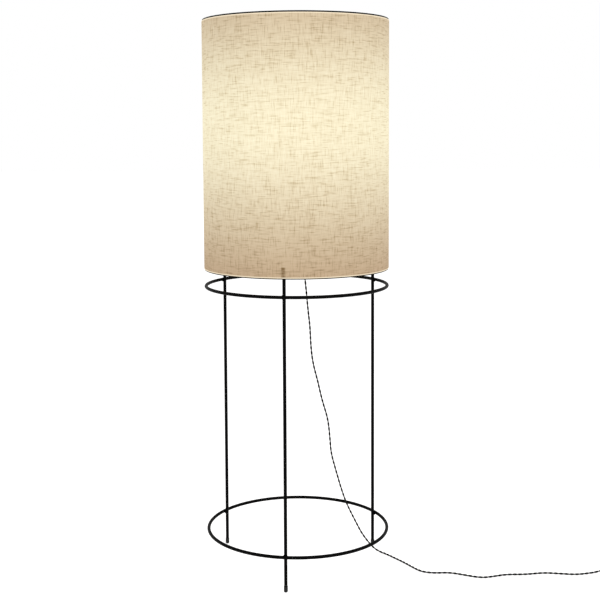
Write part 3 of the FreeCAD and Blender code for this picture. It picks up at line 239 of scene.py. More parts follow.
def linen(name, daylight, low, high):
    """Coarse linen, with the lamp's light from inside painted on it as emission. Each thread has its own
    band,
    1.8 mm wide, along which its thickness wanders; where it is thick it is a slub and holds back the lamp's
    light, and more of the blue than of the red. The painted glow is strongest level with the bulb. The
    sockets inside are painted as soft shadows at the lower rim, in the glow and in the daylight colour, and a
    brighter cream glow is painted along the cut edges at both rims."""
    made = Finish(name)
    along, z = cloth_grid(made)
    band = 1.0 / 0.0018
    weft_row = made.maths("FLOOR", made.times(z, band))
    weft_place = made.join(made.times(along, 38.0), made.times(weft_row, 5.17), 3.7)
    weft = made.noise(weft_place, 1.0, 1.0, 0.5)
    warp_row = made.maths("FLOOR", made.times(along, band))
    warp_place = made.join(made.times(warp_row, 5.17), made.times(z, 36.0), 9.1)
    warp = made.noise(warp_place, 1.0, 1.0, 0.5)
    slubs = made.spread(weft, 0.58, 0.76, 0.0, 1.0)
    uprights = made.spread(warp, 0.58, 0.76, 0.0, 1.0)
    uneven = made.noise(made.join(along, z, 0.0), 11.0, 3.0)
    slub_share = made.plus(made.times(slubs, 0.36), made.times(uprights, 0.30))
    fine_share = made.plus(made.spread(weft, 0.3, 0.7, -0.19, 0.19), made.spread(warp, 0.3, 0.7, -0.18, 0.18))
    thick = made.plus(slub_share, made.plus(fine_share, made.spread(uneven, 0.3, 0.7, -0.03, 0.03)))
    glow = made.spread(glow_at(made, z, 1.076, 0.3121, 1.0), 0.45, 1.0, 0.0, 1.0)
    thick = made.times(thick, made.spread(glow, 0.0, 1.0, 0.92, 0.55))
    # Painted shadows of the three leg sockets inside the cloth at the lower rim: full within 2.2 mm of a
    # socket's middle and gone at 6.2 mm, up to the socket's top near 756 mm, weaker below 748 mm.
    socket = None
    for angle in LEG_ANGLES.values():
        centre = math.radians((angle + 90 + 180) % 360 - 180) * SHADE_RADIUS
        beside = made.maths("ABSOLUTE", made.maths("SUBTRACT", along, centre))
        across = made.spread(beside, 0.0022, 0.0062, 1.0, 0.0)
        fading = made.spread(z, 0.748, 0.753, 0.6, 1.0)
        head = made.times(fading, made.spread(z, 0.7560, 0.7595, 1.0, 0.0))
        one = made.times(across, head)
        socket = one if socket is None else made.maths("MAXIMUM", socket, one)
    # A painted glow along the cut edges: in the last 1.4 mm of cloth at both rims, fading out by 3 mm, a pale
    # cream light takes the place of the slubs and the painted shadows.
    rim = made.maths(
        "MAXIMUM",
        made.spread(z, CLOTH_FOOT + 0.0014, CLOTH_FOOT + 0.0030, 1.0, 0.0),
        made.spread(z, CLOTH_HEAD - 0.0030, CLOTH_HEAD - 0.0014, 0.0, 1.0),
    )
    # What holds back the painted glow: the slubs, and the painted socket shadows on top of them.
    held = made.plus(thick, made.times(socket, 1.05))
    held = made.times(held, made.maths("SUBTRACT", 1.0, rim))
    held_by_colour = (0.68, 0.86, 1.12)
    through = [made.maths("SUBTRACT", 1.0, made.times(held, share)) for share in held_by_colour]
    light = made.mixed(glow, colour(*low), colour(*high))
    shown = made.mixed(1.0, light, made.join(*through), "MULTIPLY")
    # The painted cream edge glow is mixed into the emission here.
    shown = made.mixed(made.times(rim, 0.8), shown, colour(0.66, 0.62, 0.50))
    # The daylight colour darkens with the slubs, the yarn's own tone, and with the painted socket shadows.
    slub_tone_and_painted_shadow = colour(*(0.35 * part for part in daylight))
    made.set(
        Base_Color=made.mixed(made.times(held, 0.8), colour(*daylight), slub_tone_and_painted_shadow),
        Roughness=0.85,
        Specular_IOR_Level=0.12,
        Emission_Color=shown,
        Emission_Strength=1.0,
    )
    made.bump(thick, 0.3, 0.0004)
    return made.material


def shade_film(name, dim, bright):
    """The shade's inner film: smooth and warm white, with faint rolled lines; the lamp's light on it is
    painted as emission, brightest level with the bulb.
    """
    made = Finish(name)
    along, z = cloth_grid(made)
    lines = made.noise(made.join(made.times(along, 8.0), made.times(z, 700.0), 0.0), 1.0)
    glow = made.times(glow_at(made, z, 1.07, 0.22, 1.5), made.spread(lines, 0.3, 0.7, 0.97, 1.03))
    made.set(
        Base_Color=colour(0.62, 0.56, 0.44),
        Roughness=0.5,
        Emission_Color=made.mixed(glow, colour(*dim), colour(*bright)),
        Emission_Strength=1.0,
    )
    made.bump(lines, 0.1, 0.0002)
    return made.material


def opal_glass(name):
    """Opal glass with its light on: near white at the crown and a little dimmer and warmer at the neck."""
    made = Finish(name)
    height = made.split(made.place)[2]
    share = made.spread(height, BULB_TIP + 0.022, BULB_TIP + 0.075, 0.0, 1.0)
    milk = made.noise(made.place, 70.0, 2.0)
    shown = made.mixed(share, colour(0.62, 0.42, 0.22), colour(1.0, 0.93, 0.76))
    made.set(
        Base_Color=made.mixed(milk, colour(0.80, 0.78, 0.73), colour(0.86, 0.84, 0.79)),
        Roughness=0.18,
        Emission_Color=shown,
        Emission_Strength=1.1,
    )
    return made.material


def braid(name):
    """Textile braid of a strand: two sets of yarns cross at a slant, each yarn raised in its middle. The
    strand's own map gives the place round it and the length along it."""
    made = Finish(name)
    lay = made.node("ShaderNodeUVMap", uv_map="lay").outputs[0]
    around, along, _ = made.split(lay)
    yarns = made.times(around, 8.0 * TAU / 2)
    steps = made.times(along, TAU / 0.0036)
    one = made.maths("SINE", made.plus(yarns, steps))
    other = made.maths("SINE", made.maths("SUBTRACT", yarns, steps))
    weave = made.maths("MAXIMUM", one, other)
    fuzz = made.noise(made.place, 2400.0, 2.0)
    # Painted highlight and shade: each yarn's raised middle is painted lighter, the grooves between yarns
    # darker.
    raised = made.spread(weave, -0.4, 1.0, 0.0, 1.0)
    shade = made.mixed(raised, colour(0.0015, 0.0015, 0.0015), colour(0.009, 0.0085, 0.008))
    made.set(Base_Color=shade, Roughness=made.spread(fuzz, 0.3, 0.7, 0.7, 0.9), Specular_IOR_Level=0.12)
    made.bump(weave, 0.5, 0.0002)
    return made.material


# The linen's colours in daylight and its glow at both ends were tuned to the photo's mean colour by height.
FINISHES = {
    "black_steel": coated_metal("powder_coat", (0.0008, 0.0008, 0.0008), 0.42),
    "foot_plastic": moulded("soft_cap", (0.006, 0.006, 0.006), 0.62, 1800.0, 0.25),
    "linen": linen("linen_cloth", (0.40, 0.30, 0.185), (0.158, 0.105, 0.071), (0.585, 0.586, 0.445)),
    # The film's two colours are its painted glow, dim and bright.
    "liner": shade_film("shade_film", (0.22, 0.16, 0.09), (0.52, 0.47, 0.34)),
    "holder_plastic": moulded("holder_plastic", (0.010, 0.010, 0.011), 0.35),
    "insert_ceramic": fired_clay("steatite"),
    "brass": drawn_metal("pressed_brass", (0.70, 0.50, 0.20), 0.28, (0.40, 0.26, 0.10)),
    "bulb_glass": opal_glass("opal_glass"),
    "bulb_metal": drawn_metal("rolled_cap", (0.74, 0.74, 0.73), 0.26, (0.52, 0.51, 0.49)),
    "bulb_insulator": moulded("black_glass", (0.012, 0.011, 0.012), 0.12, 700.0, 0.5),
    "bulb_core": moulded("light_column", (0.80, 0.78, 0.72), 0.5, 900.0),
    "cord_textile": braid("textile_braid"),
    "switch_plastic": moulded("switch_plastic", (0.011, 0.011, 0.012), 0.22, 1600.0),
    "spring_steel": drawn_metal("zinc_plate", (0.55, 0.56, 0.58), 0.3, (0.38, 0.38, 0.38)),
    "plug_plastic": moulded("plug_plastic", (0.012, 0.012, 0.013), 0.45, 1500.0),
    "pin_metal": drawn_metal("nickel_plate", (0.72, 0.70, 0.66), 0.16, (0.55, 0.52, 0.46)),
}
SLOT_OF = {entry["node"]: entry["material_slot"] for entry in frame["record"]["subparts"]}
for node_name, thing in frame["nodes"].items():
    thing.data.materials.clear()
    thing.data.materials.append(FINISHES[SLOT_OF[node_name]])
    thing.data.polygons.foreach_set("material_index", np.zeros(len(thing.data.polygons), np.int32))

# ---- surfaces on a grid of points ----------------------------------------------------------------


def grid_faces(rows, columns, joins):
    """Quads of a grid of points: (i, j), (i, j + 1), (i + 1, j + 1), (i + 1, j). The columns close round, and
    the last row meets the first where joins is set. The second array keeps the count of the column and the
    row without closing them, for the map."""
    i = np.arange(rows if joins else rows - 1)[:, None]
    j = np.arange(columns)[None, :]
    corners = [(i, j), (i, j + 1), (i + 1, j + 1), (i + 1, j)]
    index = [np.broadcast_arrays((p % rows) * columns + q % columns, i + j)[0] for p, q in corners]
    steps = [np.stack(np.broadcast_arrays(q + 0 * p, p + 0 * q), axis=-1) for p, q in corners]
    return np.stack(index, axis=-1).reshape(-1, 4), np.stack(steps, axis=2).reshape(-1, 4, 2)


def piece(name, grids, slot, body, stands_for=(), joins=False,
          map_name=None, map_scale=(1.0, 1.0), sharp=35.0):
    """One object made of a surface for each grid, an array of rows x columns x 3. Points that fall together,
    as at a pole, are merged, and the faces are turned outwards."""
    points, faces, maps, base = [], [], [], 0
    for grid in grids:
        rows, columns = grid.shape[:2]
        index, steps = grid_faces(rows, columns, joins)
        points.append(grid.reshape(-1, 3))
        faces.append(index + base)
        maps.append(steps * np.array([map_scale[0] / columns, map_scale[1]]))
        base += rows * columns
    mesh = bpy.data.meshes.new(name)
    mesh.from_pydata(np.concatenate(points).tolist(), [], np.concatenate(faces).tolist())
    if map_name:
        layer = mesh.uv_layers.new(name=map_name)
        layer.data.foreach_set("uv", np.concatenate(maps).reshape(-1).astype(np.float32))
    work = bmesh.new()
    work.from_mesh(mesh)
    bmesh.ops.remove_doubles(work, verts=work.verts, dist=1e-7)
    bmesh.ops.dissolve_degenerate(work, edges=work.edges, dist=1e-7)
    bmesh.ops.recalc_face_normals(work, faces=work.faces)
    work.to_mesh(mesh)
    work.free()
    mesh.shade_smooth()
    mesh.set_sharp_from_angle(angle=math.radians(sharp))
    mesh.materials.append(FINISHES[slot])
    thing = bpy.data.objects.new(name, mesh)
    bpy.context.scene.collection.objects.link(thing)
    if body:
        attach(thing, body)
    if stands_for:
        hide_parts(*stands_for)
    return thing


def softened(profile, reach, steps=5, closed=False):
    """The profile with each corner drawn as a curve: from reach before the corner to reach after it along
    (1 - t) ^ 2 a + 2 t (1 - t) corner + t ^ 2 b. The reach is held under 0.45 of the shorter side."""
    profile = np.asarray(profile, float)
    before = profile - np.roll(profile, 1, axis=0)
    after = np.roll(profile, -1, axis=0) - profile
    long_before = np.linalg.norm(before, axis=1, keepdims=True)
    long_after = np.linalg.norm(after, axis=1, keepdims=True)
    held = np.minimum(reach, 0.45 * np.minimum(long_before, long_after))
    if not closed:
        held[0] = held[-1] = 0.0
    a = profile - before / np.maximum(long_before, 1e-9) * held
    b = profile + after / np.maximum(long_after, 1e-9) * held
    t = np.linspace(0.0, 1.0, steps)[None, :, None]
    curve = (1 - t) ** 2 * a[:, None] + 2 * t * (1 - t) * profile[:, None] + t**2 * b[:, None]
    return curve.reshape(-1, profile.shape[1])


def turned(profile, centre, columns=64):
    """Each profile point (radius, height) carried round the upright axis through centre: (cx + r cos a,
    cy + r sin a, cz + h)."""
    profile = np.asarray(profile, float)
    angle = np.arange(columns) / columns * TAU
    radius, height = profile[:, 0, None], profile[:, 1, None]
    return np.stack([
        centre[0] + radius * np.cos(angle),
        centre[1] + radius * np.sin(angle),
        centre[2] + height + 0 * angle,
    ], axis=-1)


def around_path(path, radius, columns, fixed):
    """A round skin along a path: at each point a circle in the plane of n and b, where n is the heading
    crossed with a fixed direction and b the heading crossed with n."""
    path = np.asarray(path, float)
    heading = np.gradient(path, axis=0)
    heading /= np.linalg.norm(heading, axis=1, keepdims=True)
    n = np.cross(heading, np.asarray(fixed, float))
    n /= np.linalg.norm(n, axis=1, keepdims=True)
    b = np.cross(heading, n)
    angle = (np.arange(columns) / columns * TAU)[None, :, None]
    radius = np.asarray(radius).reshape(-1, 1, 1)
    return path[:, None] + radius * (np.cos(angle) * n[:, None] + np.sin(angle) * b[:, None])


def capped(grid):
    """The grid with its first and last row drawn together to their middles, which closes its ends."""
    first, last = grid[:1].mean(axis=1, keepdims=True), grid[-1:].mean(axis=1, keepdims=True)
    return np.concatenate([np.repeat(first, grid.shape[1], 1), grid, np.repeat(last, grid.shape[1], 1)])


# ---- cords ---------------------------------------------------------------------------------------


def spline_line(points, fine=12):
    """The points of the smooth line that a NURBS spline draws through its control points."""
    curve = bpy.data.curves.new("route", "CURVE")
    curve.dimensions = "3D"
    spline = curve.splines.new("NURBS")
    spline.points.add(len(points) - 1)
    for control, point in zip(spline.points, points):
        control.co = (*point, 1.0)
    spline.order_u = 3
    spline.use_endpoint_u = True
    spline.resolution_u = fine
    curve.resolution_u = fine
    holder = bpy.data.objects.new("route", curve)
    bpy.context.scene.collection.objects.link(holder)
    mesh = bpy.data.meshes.new_from_object(holder)
    line = np.empty(len(mesh.vertices) * 3)
    mesh.vertices.foreach_get("co", line)
    bpy.data.objects.remove(holder)
    bpy.data.meshes.remove(mesh)
    return line.reshape(-1, 3)


def even_line(line, step):
    """The same line with its points a step apart along it, and its length."""
    along = np.concatenate([[0.0], np.cumsum(np.linalg.norm(np.diff(line, axis=0), axis=1))])
    count = int(round(along[-1] / step)) + 1
    stations = np.linspace(0.0, along[-1], count)
    return np.stack([np.interp(stations, along, line[:, k]) for k in range(3)], axis=-1), along[-1]


def twisted_pair(name, line, length, fixed):
    """Two strands wound round the line, once in a lay, and pressed flat where they meet: across the line a
    strand is a circle with its middle at half the cord less the strand's radius, cut off at the line."""
    heading = np.gradient(line, axis=0)
    heading /= np.linalg.norm(heading, axis=1, keepdims=True)
    n = np.cross(heading, np.asarray(fixed, float))
    n /= np.linalg.norm(n, axis=1, keepdims=True)
    b = np.cross(heading, n)
    turn = (np.linspace(0.0, length, len(line)) / LAY * TAU)[:, None]
    strands = []
    angle = (np.arange(12) / 12 * TAU)[None, :, None]
    reach = np.maximum(CORD / 2 - STRAND + STRAND * np.cos(angle), 0.00002)
    for start in (0.0, math.pi):
        outward = np.cos(turn + start) * n + np.sin(turn + start) * b
        sideways = np.cos(turn + start) * b - np.sin(turn + start) * n
        skin = line[:, None] + reach * outward[:, None] + STRAND * np.sin(angle) * sideways[:, None]
        strands.append(capped(skin))
    step = length / (len(line) - 1)
    return piece(name, strands, "cord_textile", None, map_name="lay", map_scale=(1.0, step), sharp=60.0)


LEAD = np.array([
    (0, 0, 929), (0, 0, 905), (2, 0.4, 865), (7, 1.5, 812), (14, 3, 757), (22.2, 5, 690), (27.3, 6, 628),
    (32.5, 8, 583), (34.3, 8.6, 533), (39.4, 9.8, 491), (51, 12.5, 447), (61.5, 15.2, 398), (76.3, 19, 350),
    (81.2, 20.2, 300), (83.6, 20.9, 262), (97, 24.2, 213), (109, 27.2, 170), (122, 30, 131), (143.5, 35, 86),
    (160, 39.5, 52), (177, 43, 27), (193, 43, 9), (208, 36, 2.4), (221.5, 21.5, 2.4), (237, -1, 2.4),
    (262, -37, 2.4), (281, -71, 2.4), (299, -97.5, 2.4), (327, -106.5, 2.4), (365, -103, 2.4),
    (402, -121, 2.4), (437, -137.5, 2.4), (470, -128, 2.4), (499, -117, 2.4), (545, -118, 2.4),
    (590, -107.5, 2.4), (630, -114, 2.4),
    (665, -120.5, 2.4), (697, -112.5, 2.4), (715, -108.5, 3.4), (730, -107, 7), (744, -107, 7),
]) / 1000.0


def coil_points():
    """The put-away coil's control points, 16 to a turn: clockwise at radius 35 - 6.2 w, where w is the number
    of turns from the nearer end of the coil, at most 2.75; the middle half turn climbs to the upper layer
    by s ^ 2 (3 - 2 s). Control points of a curve stand out from it, here by 1 / cos(180 deg / 16)."""
    turns = np.arange(0, 6 * 16 + 1) / 16
    wound = np.minimum(np.minimum(turns, 6 - turns), 2.75)
    radius = (35 - 6.2 * wound) / math.cos(math.pi / 16)
    climb = np.clip((turns - 2.75) / 0.5, 0.0, 1.0)
    height = 2.4 + 5.6 * climb**2 * (3 - 2 * climb)
    angle = -turns * TAU
    x = COIL[0] * 1000 + radius * np.cos(angle)
    y = COIL[1] * 1000 + radius * np.sin(angle)
    return np.stack([x, y, height], axis=-1) / 1000.0


LINK = np.array([(848, -107, 7), (859, -107, 7), (871.4, -112, 4), (881.9, -126, 2.4), (883.4, -147, 2.4)])
TAIL = np.array([(882.6, -178, 7.6), (883.5, -192, 6.85), (883.5, -204, 6.85)])
REST = np.concatenate([LINK / 1000.0, coil_points(), TAIL / 1000.0])

lead_line, lead_length = even_line(spline_line(LEAD), 0.0021)
rest_line, rest_length = even_line(spline_line(REST), 0.0021)
lead = twisted_pair("cord_lead_strands", lead_line, lead_length, (0, 1, 0))
rest = twisted_pair("cord_rest_strands", rest_line, rest_length, (0, 0, 1))
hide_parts("cord_lead")
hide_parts("cord_link", "cord_coil", "cord_tail")
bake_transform(lead)
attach(rest, "stand")

# ---- shade ---------------------------------------------------------------------------------------


def drum(inner, outer, foot, head, rows, columns, lift=None):
    """A thin drum wall as one closed skin: up the outside, in over the edge, down the inside. Lift, a
    function of the angle, says how far the outside stands out."""
    profile = np.concatenate([
        np.stack([np.full(rows, outer), np.linspace(foot, head, rows)], axis=-1),
        np.stack([np.full(rows, inner), np.linspace(head, foot, rows)], axis=-1),
    ])
    grid = turned(profile, (0, 0, 0), columns)
    if lift is not None:
        angle = np.arange(columns) / columns * TAU
        factor = 1 + lift(angle) / outer
        grid[:rows, :, :2] *= factor[None, :, None]
    return grid


def overlap_lift(angle):
    """The linen's overlap at the back: half a millimetre proud over 12 mm round, with edges 1 mm wide."""
    away = np.abs((angle - TAU / 4 + math.pi) % TAU - math.pi) * SHADE_RADIUS
    return 0.0005 * np.clip((0.0065 - away) / 0.001, 0.0, 1.0)


cloth = drum(0.2243, 0.225, CLOTH_FOOT, CLOTH_HEAD, 41, 720, overlap_lift)
piece("shade_cloth", [cloth], "linen", "shade_unit", ["shade_linen"], joins=True, sharp=50.0)
film = drum(0.2238, 0.22428, CLOTH_FOOT, CLOTH_HEAD, 41, 288)
piece("shade_inner_film", [film], "liner", "shade_unit", ["shade_liner"], joins=True, sharp=50.0)

# ---- stand ---------------------------------------------------------------------------------------


def leg_spot(side):
    angle = math.radians(LEG_ANGLES[side])
    return LEG_CIRCLE * math.cos(angle), LEG_CIRCLE * math.sin(angle)


for side in LEG_ANGLES:
    x, y = leg_spot(side)
    rod = softened([(0, LEG_FOOT), (ROD, LEG_FOOT), (ROD, LEG_TOP), (0, LEG_TOP)], 0.0008)
    piece(f"leg_rod_{side}", [turned(rod, (x, y, 0), 40)], "black_steel", "stand", [f"leg_{side}"])
    cap = [(0, 0), (0.0034, 0), (0.0047, 0.0022), (0.0047, 0.0128), (0.0049, 0.0131), (0.0049, 0.0140),
           (0.0040, 0.0140), (0.0040, LEG_FOOT), (0, LEG_FOOT)]
    skin = turned(softened(cap, 0.0011), (x, y, 0), 40)
    piece(f"foot_{side}", [skin], "foot_plastic", "stand", [f"foot_cap_{side}"])

for level, height in RING_HEIGHTS.items():
    angle = np.arange(320) / 320 * TAU
    circle = np.stack([RING_RADIUS * np.cos(angle), RING_RADIUS * np.sin(angle), 0 * angle + height], axis=-1)
    around = np.arange(28) / 28 * TAU
    out = np.stack([np.cos(angle), np.sin(angle), 0 * angle], axis=-1)
    up = np.array([0, 0, 1.0])
    section = np.cos(around)[None, :, None] * out[:, None] + np.sin(around)[None, :, None] * up
    ring = circle[:, None] + ROD * section
    piece(f"stand_ring_{level}", [ring], "black_steel", "stand", [f"ring_{level}"], joins=True)

# A weld fillet fills the corner on each side of a leg at a ring: a drop 11 mm high whose radius is
# 2 sqrt(1 - (h / 5.5) ^ 2) mm, rippled where the bead was laid.
for level, height in RING_HEIGHTS.items():
    drops = []
    rise = np.linspace(-1.0, 1.0, 25)
    ripple = 1 + 0.06 * np.cos(rise * 24)
    drop = np.stack([0.0021 * np.sqrt(np.maximum(1 - rise**2, 0)) * ripple, 0.0055 * rise], axis=-1)
    for side, angle in LEG_ANGLES.items():
        for hand in (-1, 1):
            turn = math.radians(angle)
            x = 0.217 * math.cos(turn) - hand * 0.0031 * math.sin(turn)
            y = 0.217 * math.sin(turn) + hand * 0.0031 * math.cos(turn)
            drops.append(turned(drop, (x, y, height), 18))
    piece(f"weld_fillets_{level}", drops, "black_steel", "stand", [f"welds_{level}"])

# ---- carrier -------------------------------------------------------------------------------------

for rim, foot in (("bottom", SHADE_FOOT), ("top", SHADE_HEAD - 0.008)):
    strip = [(0.2223, foot), (0.2238, foot), (0.2238, foot + 0.008), (0.2223, foot + 0.008)]
    grid = turned(softened(strip, 0.0005, closed=True), (0, 0, 0), 288)
    piece(f"rim_hoop_{rim}", [grid], "black_steel", "shade_unit", [f"shade_hoop_{rim}"], joins=True)

ARM = [(0.213, 0.755), (0.213, 0.7694), (0.0504, 1.003), (0.0318, 1.003)]
arm_line = np.concatenate([
    [ARM[0]], softened(np.array(ARM), 0.0085, 12)[12:-12], [ARM[-1]],
])
for side, angle in LEG_ANGLES.items():
    turn = math.radians(angle)
    x, y = arm_line[:, 0] * math.cos(turn), arm_line[:, 0] * math.sin(turn)
    line, _ = even_line(np.stack([x, y, arm_line[:, 1]], axis=-1), 0.002)
    sideways = (-math.sin(turn), math.cos(turn), 0)
    tube = capped(around_path(line, 0.0025, 24, sideways))
    short = np.linspace(0.0, 1.0, 7)[:, None]
    bead = 0.0025 + 0.0012 * np.cos(np.linspace(-1.2, 1.2, 7))
    low = capped(around_path(line[0] + short * np.array([0, 0, 0.0026]), bead, 24, sideways))
    outwards = np.array([math.cos(turn), math.sin(turn), 0])
    high = capped(around_path(line[-1] + short * 0.0026 * outwards, bead, 24, sideways))
    piece(f"carrier_rod_{side}", [tube, low, high], "black_steel", "shade_unit", [f"carrier_arm_{side}"])

hub = [(0.0201, 0), (0.0295, 0), (0.0295, -0.0065), (0.032, -0.0065), (0.032, 0.0025), (0.0201, 0.0025)]
grid = turned(softened(hub, 0.0012, closed=True), (0, 0, HUB_FOOT), 96)
piece("hub_ring", [grid], "black_steel", "shade_unit", ["carrier_hub"], joins=True)

# ---- lampholder, heights from the hub's underside ------------------------------------------------


def threaded(profile, centre, low, high, depth, pitch, columns=72):
    """A turned skin whose outside between two heights carries a thread: its radius falls by
    depth (0.5 - 0.5 cos(2 pi h / pitch - a)), which runs out over a quarter pitch at both ends."""
    profile = np.asarray(profile, float)
    grid = turned(profile, (0, 0, 0), columns)
    angle = np.arange(columns) / columns * TAU
    height = profile[:, 1, None]
    inside = np.clip((height - low) / (pitch / 4), 0, 1) * np.clip((high - height) / (pitch / 4), 0, 1)
    outer = profile[:, 0, None] > profile[:, 0].max() - 2.5 * depth
    fall = depth * (0.5 - 0.5 * np.cos(TAU * height / pitch - angle)) * inside * outer
    grid[..., :2] *= (1 - fall / np.maximum(profile[:, 0, None], 1e-6))[..., None]
    return grid + np.asarray(centre, float)


def risen(radius, low, high, count):
    return np.stack([np.full(count, radius), np.linspace(low, high, count)], axis=-1)


axis_at_hub = (0, 0, HUB_FOOT)
skirt = np.concatenate([
    softened([(0.0175, -0.016), (0.0211, -0.016), (0.0211, -0.013), (0.0199, -0.013)], 0.0006)[5:],
    risen(0.0199, -0.0125, 0.0195, 110), [(0.0196, 0.020), (0.0175, 0.020)], [(0.0175, -0.016)],
])
skin = threaded(skirt, axis_at_hub, -0.012, 0.019, 0.0007, 0.0025, 96)
piece("holder_skirt", [skin], "holder_plastic", "shade_unit", ["lampholder_skirt"], joins=True)

bow = np.linspace(-TAU / 4, 0, 14)
cap = np.concatenate([
    [(0.005, -0.050), (0.0074, -0.050), (0.0080, -0.0494), (0.0080, -0.0463)],
    np.stack([0.0080 + 0.0131 * np.cos(bow), -0.0329 + 0.0131 * np.sin(bow)], -1),
    risen(0.0211, -0.0320, -0.0164, 24),
    [(0.0207, -0.016), (0.0187, -0.016), (0.0187, -0.019), (0.0165, -0.019)],
    np.stack([0.0080 + 0.0085 * np.cos(bow[::-1]), -0.0329 + 0.0085 * np.sin(bow[::-1])], -1),
    [(0.005, -0.0414)],
])
grid = turned(cap, axis_at_hub, 144)
angle = np.arange(144) / 144 * TAU
above_low, below_high = (cap[:, 1] + 0.0315) / 0.002, (-0.0180 - cap[:, 1]) / 0.001
fluted = np.clip(above_low, 0, 1) * np.clip(below_high, 0, 1) * (cap[:, 0] > 0.0205)
grid[..., :2] *= 1 - (0.016 * fluted)[:, None, None] * (0.5 - 0.5 * np.cos(36 * angle))[None, :, None]
piece("holder_cap", [grid], "holder_plastic", "shade_unit", ["lampholder_cap"], joins=True)

grip = softened([(0, -0.076), (0.0033, -0.076), (0.0054, -0.056), (0.0070, -0.056), (0.0070, -0.050),
                 (0.0049, -0.050), (0.0049, -0.042), (0, -0.042)], 0.0006)
grid = turned(grip, (0, 0, 0), 96)
angle = np.arange(96) / 96 * TAU
sides = np.minimum(1 / np.cos((angle + TAU / 12) % (TAU / 6) - TAU / 12), 1.12)
hexed = (np.abs(grip[:, 1] + 0.053) < 0.0031) & (grip[:, 0] > 0.0056)
grid[..., :2] *= np.where(hexed[:, None], sides[None, :], 1.0)[..., None]
piece("cord_clamp", [grid + np.array(axis_at_hub)], "holder_plastic", "shade_unit", ["cord_grip"])

# ---- bulb, heights from its contact tip ----------------------------------------------------------


def glass_line(wall, foot):
    """From the crown down: the ball, the cone that leaves it at 24 degrees, and the neck, moved in by
    wall."""
    ball = 0.030 - wall
    flare = math.radians(24)
    fall = np.linspace(TAU / 4, -flare, 40)
    crown = np.stack([ball * np.cos(fall), 0.078 + ball * np.sin(fall)], axis=-1)
    cone = crown[-1] - np.array([0.026 * math.sin(flare), 0.026 * math.cos(flare)])
    rest = softened([crown[-1], cone, (0.0124 - wall, 0.027), (0.0124 - wall, foot)], 0.007, 8)[8:-8]
    return np.concatenate([crown, rest, [(0.0124 - wall, foot)]])


profile = np.concatenate([glass_line(0.0, 0.020), glass_line(0.0009, 0.020)[::-1]])
profile[0, 0] = profile[-1, 0] = 0.0
piece("bulb_globe", [turned(profile, (0, 0, BULB_TIP), 72)], "bulb_glass", "bulb", ["bulb_glass"], sharp=50.0)

shell = np.concatenate([
    [(0.0105, 0.005), (0.0128, 0.0078)],
    risen(0.0130, 0.0084, 0.0246, 90),
    [(0.0128, 0.025), (0.0124, 0.025), (0.0124, 0.008), (0.0105, 0.007)],
])
skin = threaded(shell, (0, 0, BULB_TIP), 0.009, 0.0236, 0.00042, 0.0036)
piece("bulb_screw_cap", [skin], "bulb_metal", "bulb", ["bulb_cap"], joins=True)

# ---- foot switch ---------------------------------------------------------------------------------


def stadium(inset, height, columns=96):
    """The switch's outline at an inset and a height: half circles about x = -18 and 18 mm. An inset of 1 or
    more is a circle of that many millimetres, for the button's hole."""
    angle = (np.arange(columns) + 0.5) / columns * TAU
    inset, height = np.asarray(inset, float)[:, None], np.asarray(height, float)[:, None]
    half = np.where(inset >= 1, inset / 1000, 0.014 - inset)
    reach = np.where(inset >= 1, 0.0, 0.018)
    x = SWITCH[0] + reach * np.sign(np.cos(angle)) + half * np.cos(angle)
    y = SWITCH[1] + half * np.sin(angle) + 0 * inset
    return np.stack([x, y, height + 0 * angle], axis=-1)


bow = np.linspace(0, TAU / 4, 9)
cover = (
    [(0.0003, 0.0072), (0.0, 0.0075), (0.0, 0.012)]
    + [(0.004 - 0.004 * math.cos(t), 0.016 + 0.004 * math.sin(t)) for t in bow]
    + [(10.7, 0.0200), (10.2, 0.0199), (9.9, 0.0195), (9.9, 0.0180), (0.002, 0.0180), (0.002, 0.0072)]
)
piece("switch_shell", [stadium(*zip(*cover))], "switch_plastic", "stand", ["switch_cover"], joins=True)
base = [(1.0001, 0.0), (0.0012, 0.0), (0.0003, 0.0006), (0.0, 0.0014), (0.0, 0.0066), (0.0003, 0.0069),
        (0.002, 0.0069), (0.002, 0.0025), (1.0001, 0.0025)]
grid = stadium(*zip(*base))
grid[[0, -1], :, :2] = SWITCH
piece("switch_tray", [grid], "switch_plastic", "stand", ["switch_base"])
button = np.concatenate([
    [(0, 0.0093), (0.003, 0.0093), (0.003, 0.0163), (0.0114, 0.0163), (0.0114, 0.0179), (0.0095, 0.0179)],
    softened([(0.0095, 0.0179), (0.0095, 0.0235), (0.0072, 0.0235)], 0.0018, 9)[9:-9],
    np.stack([np.linspace(0.0074, 0.0, 24), 0.0231 - 0.0003 * np.cos(np.linspace(0, 8 * math.pi, 24))], -1),
])
piece("switch_push", [turned(button, (*SWITCH, 0), 72)], "switch_plastic", "switch_button", ["switch_button"])

# The return spring: a wire 0.8 mm thick at radius 5 mm, four turns from the tray up to the contact bridge,
# flat for 0.6 of a turn at both ends; between them it climbs by s ^ 2 (3 - 2 s).
spring_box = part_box("switch_spring")
spring_foot, spring_head = spring_box[0][2], spring_box[1][2]
turns = np.linspace(0.0, 4.0, 193)
climb = np.clip((turns - 0.6) / 2.8, 0.0, 1.0)
spring_line = np.stack([
    SWITCH[0] + 0.005 * np.cos(turns * TAU), SWITCH[1] + 0.005 * np.sin(turns * TAU),
    spring_foot + 0.0004 + (spring_head - spring_foot - 0.0008) * climb**2 * (3 - 2 * climb),
], axis=-1)
wire = capped(around_path(spring_line, 0.0004, 14, (0, 0, 1)))
spring = piece("switch_return_spring", [wire], "spring_steel", None, ["switch_spring"])
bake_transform(spring)


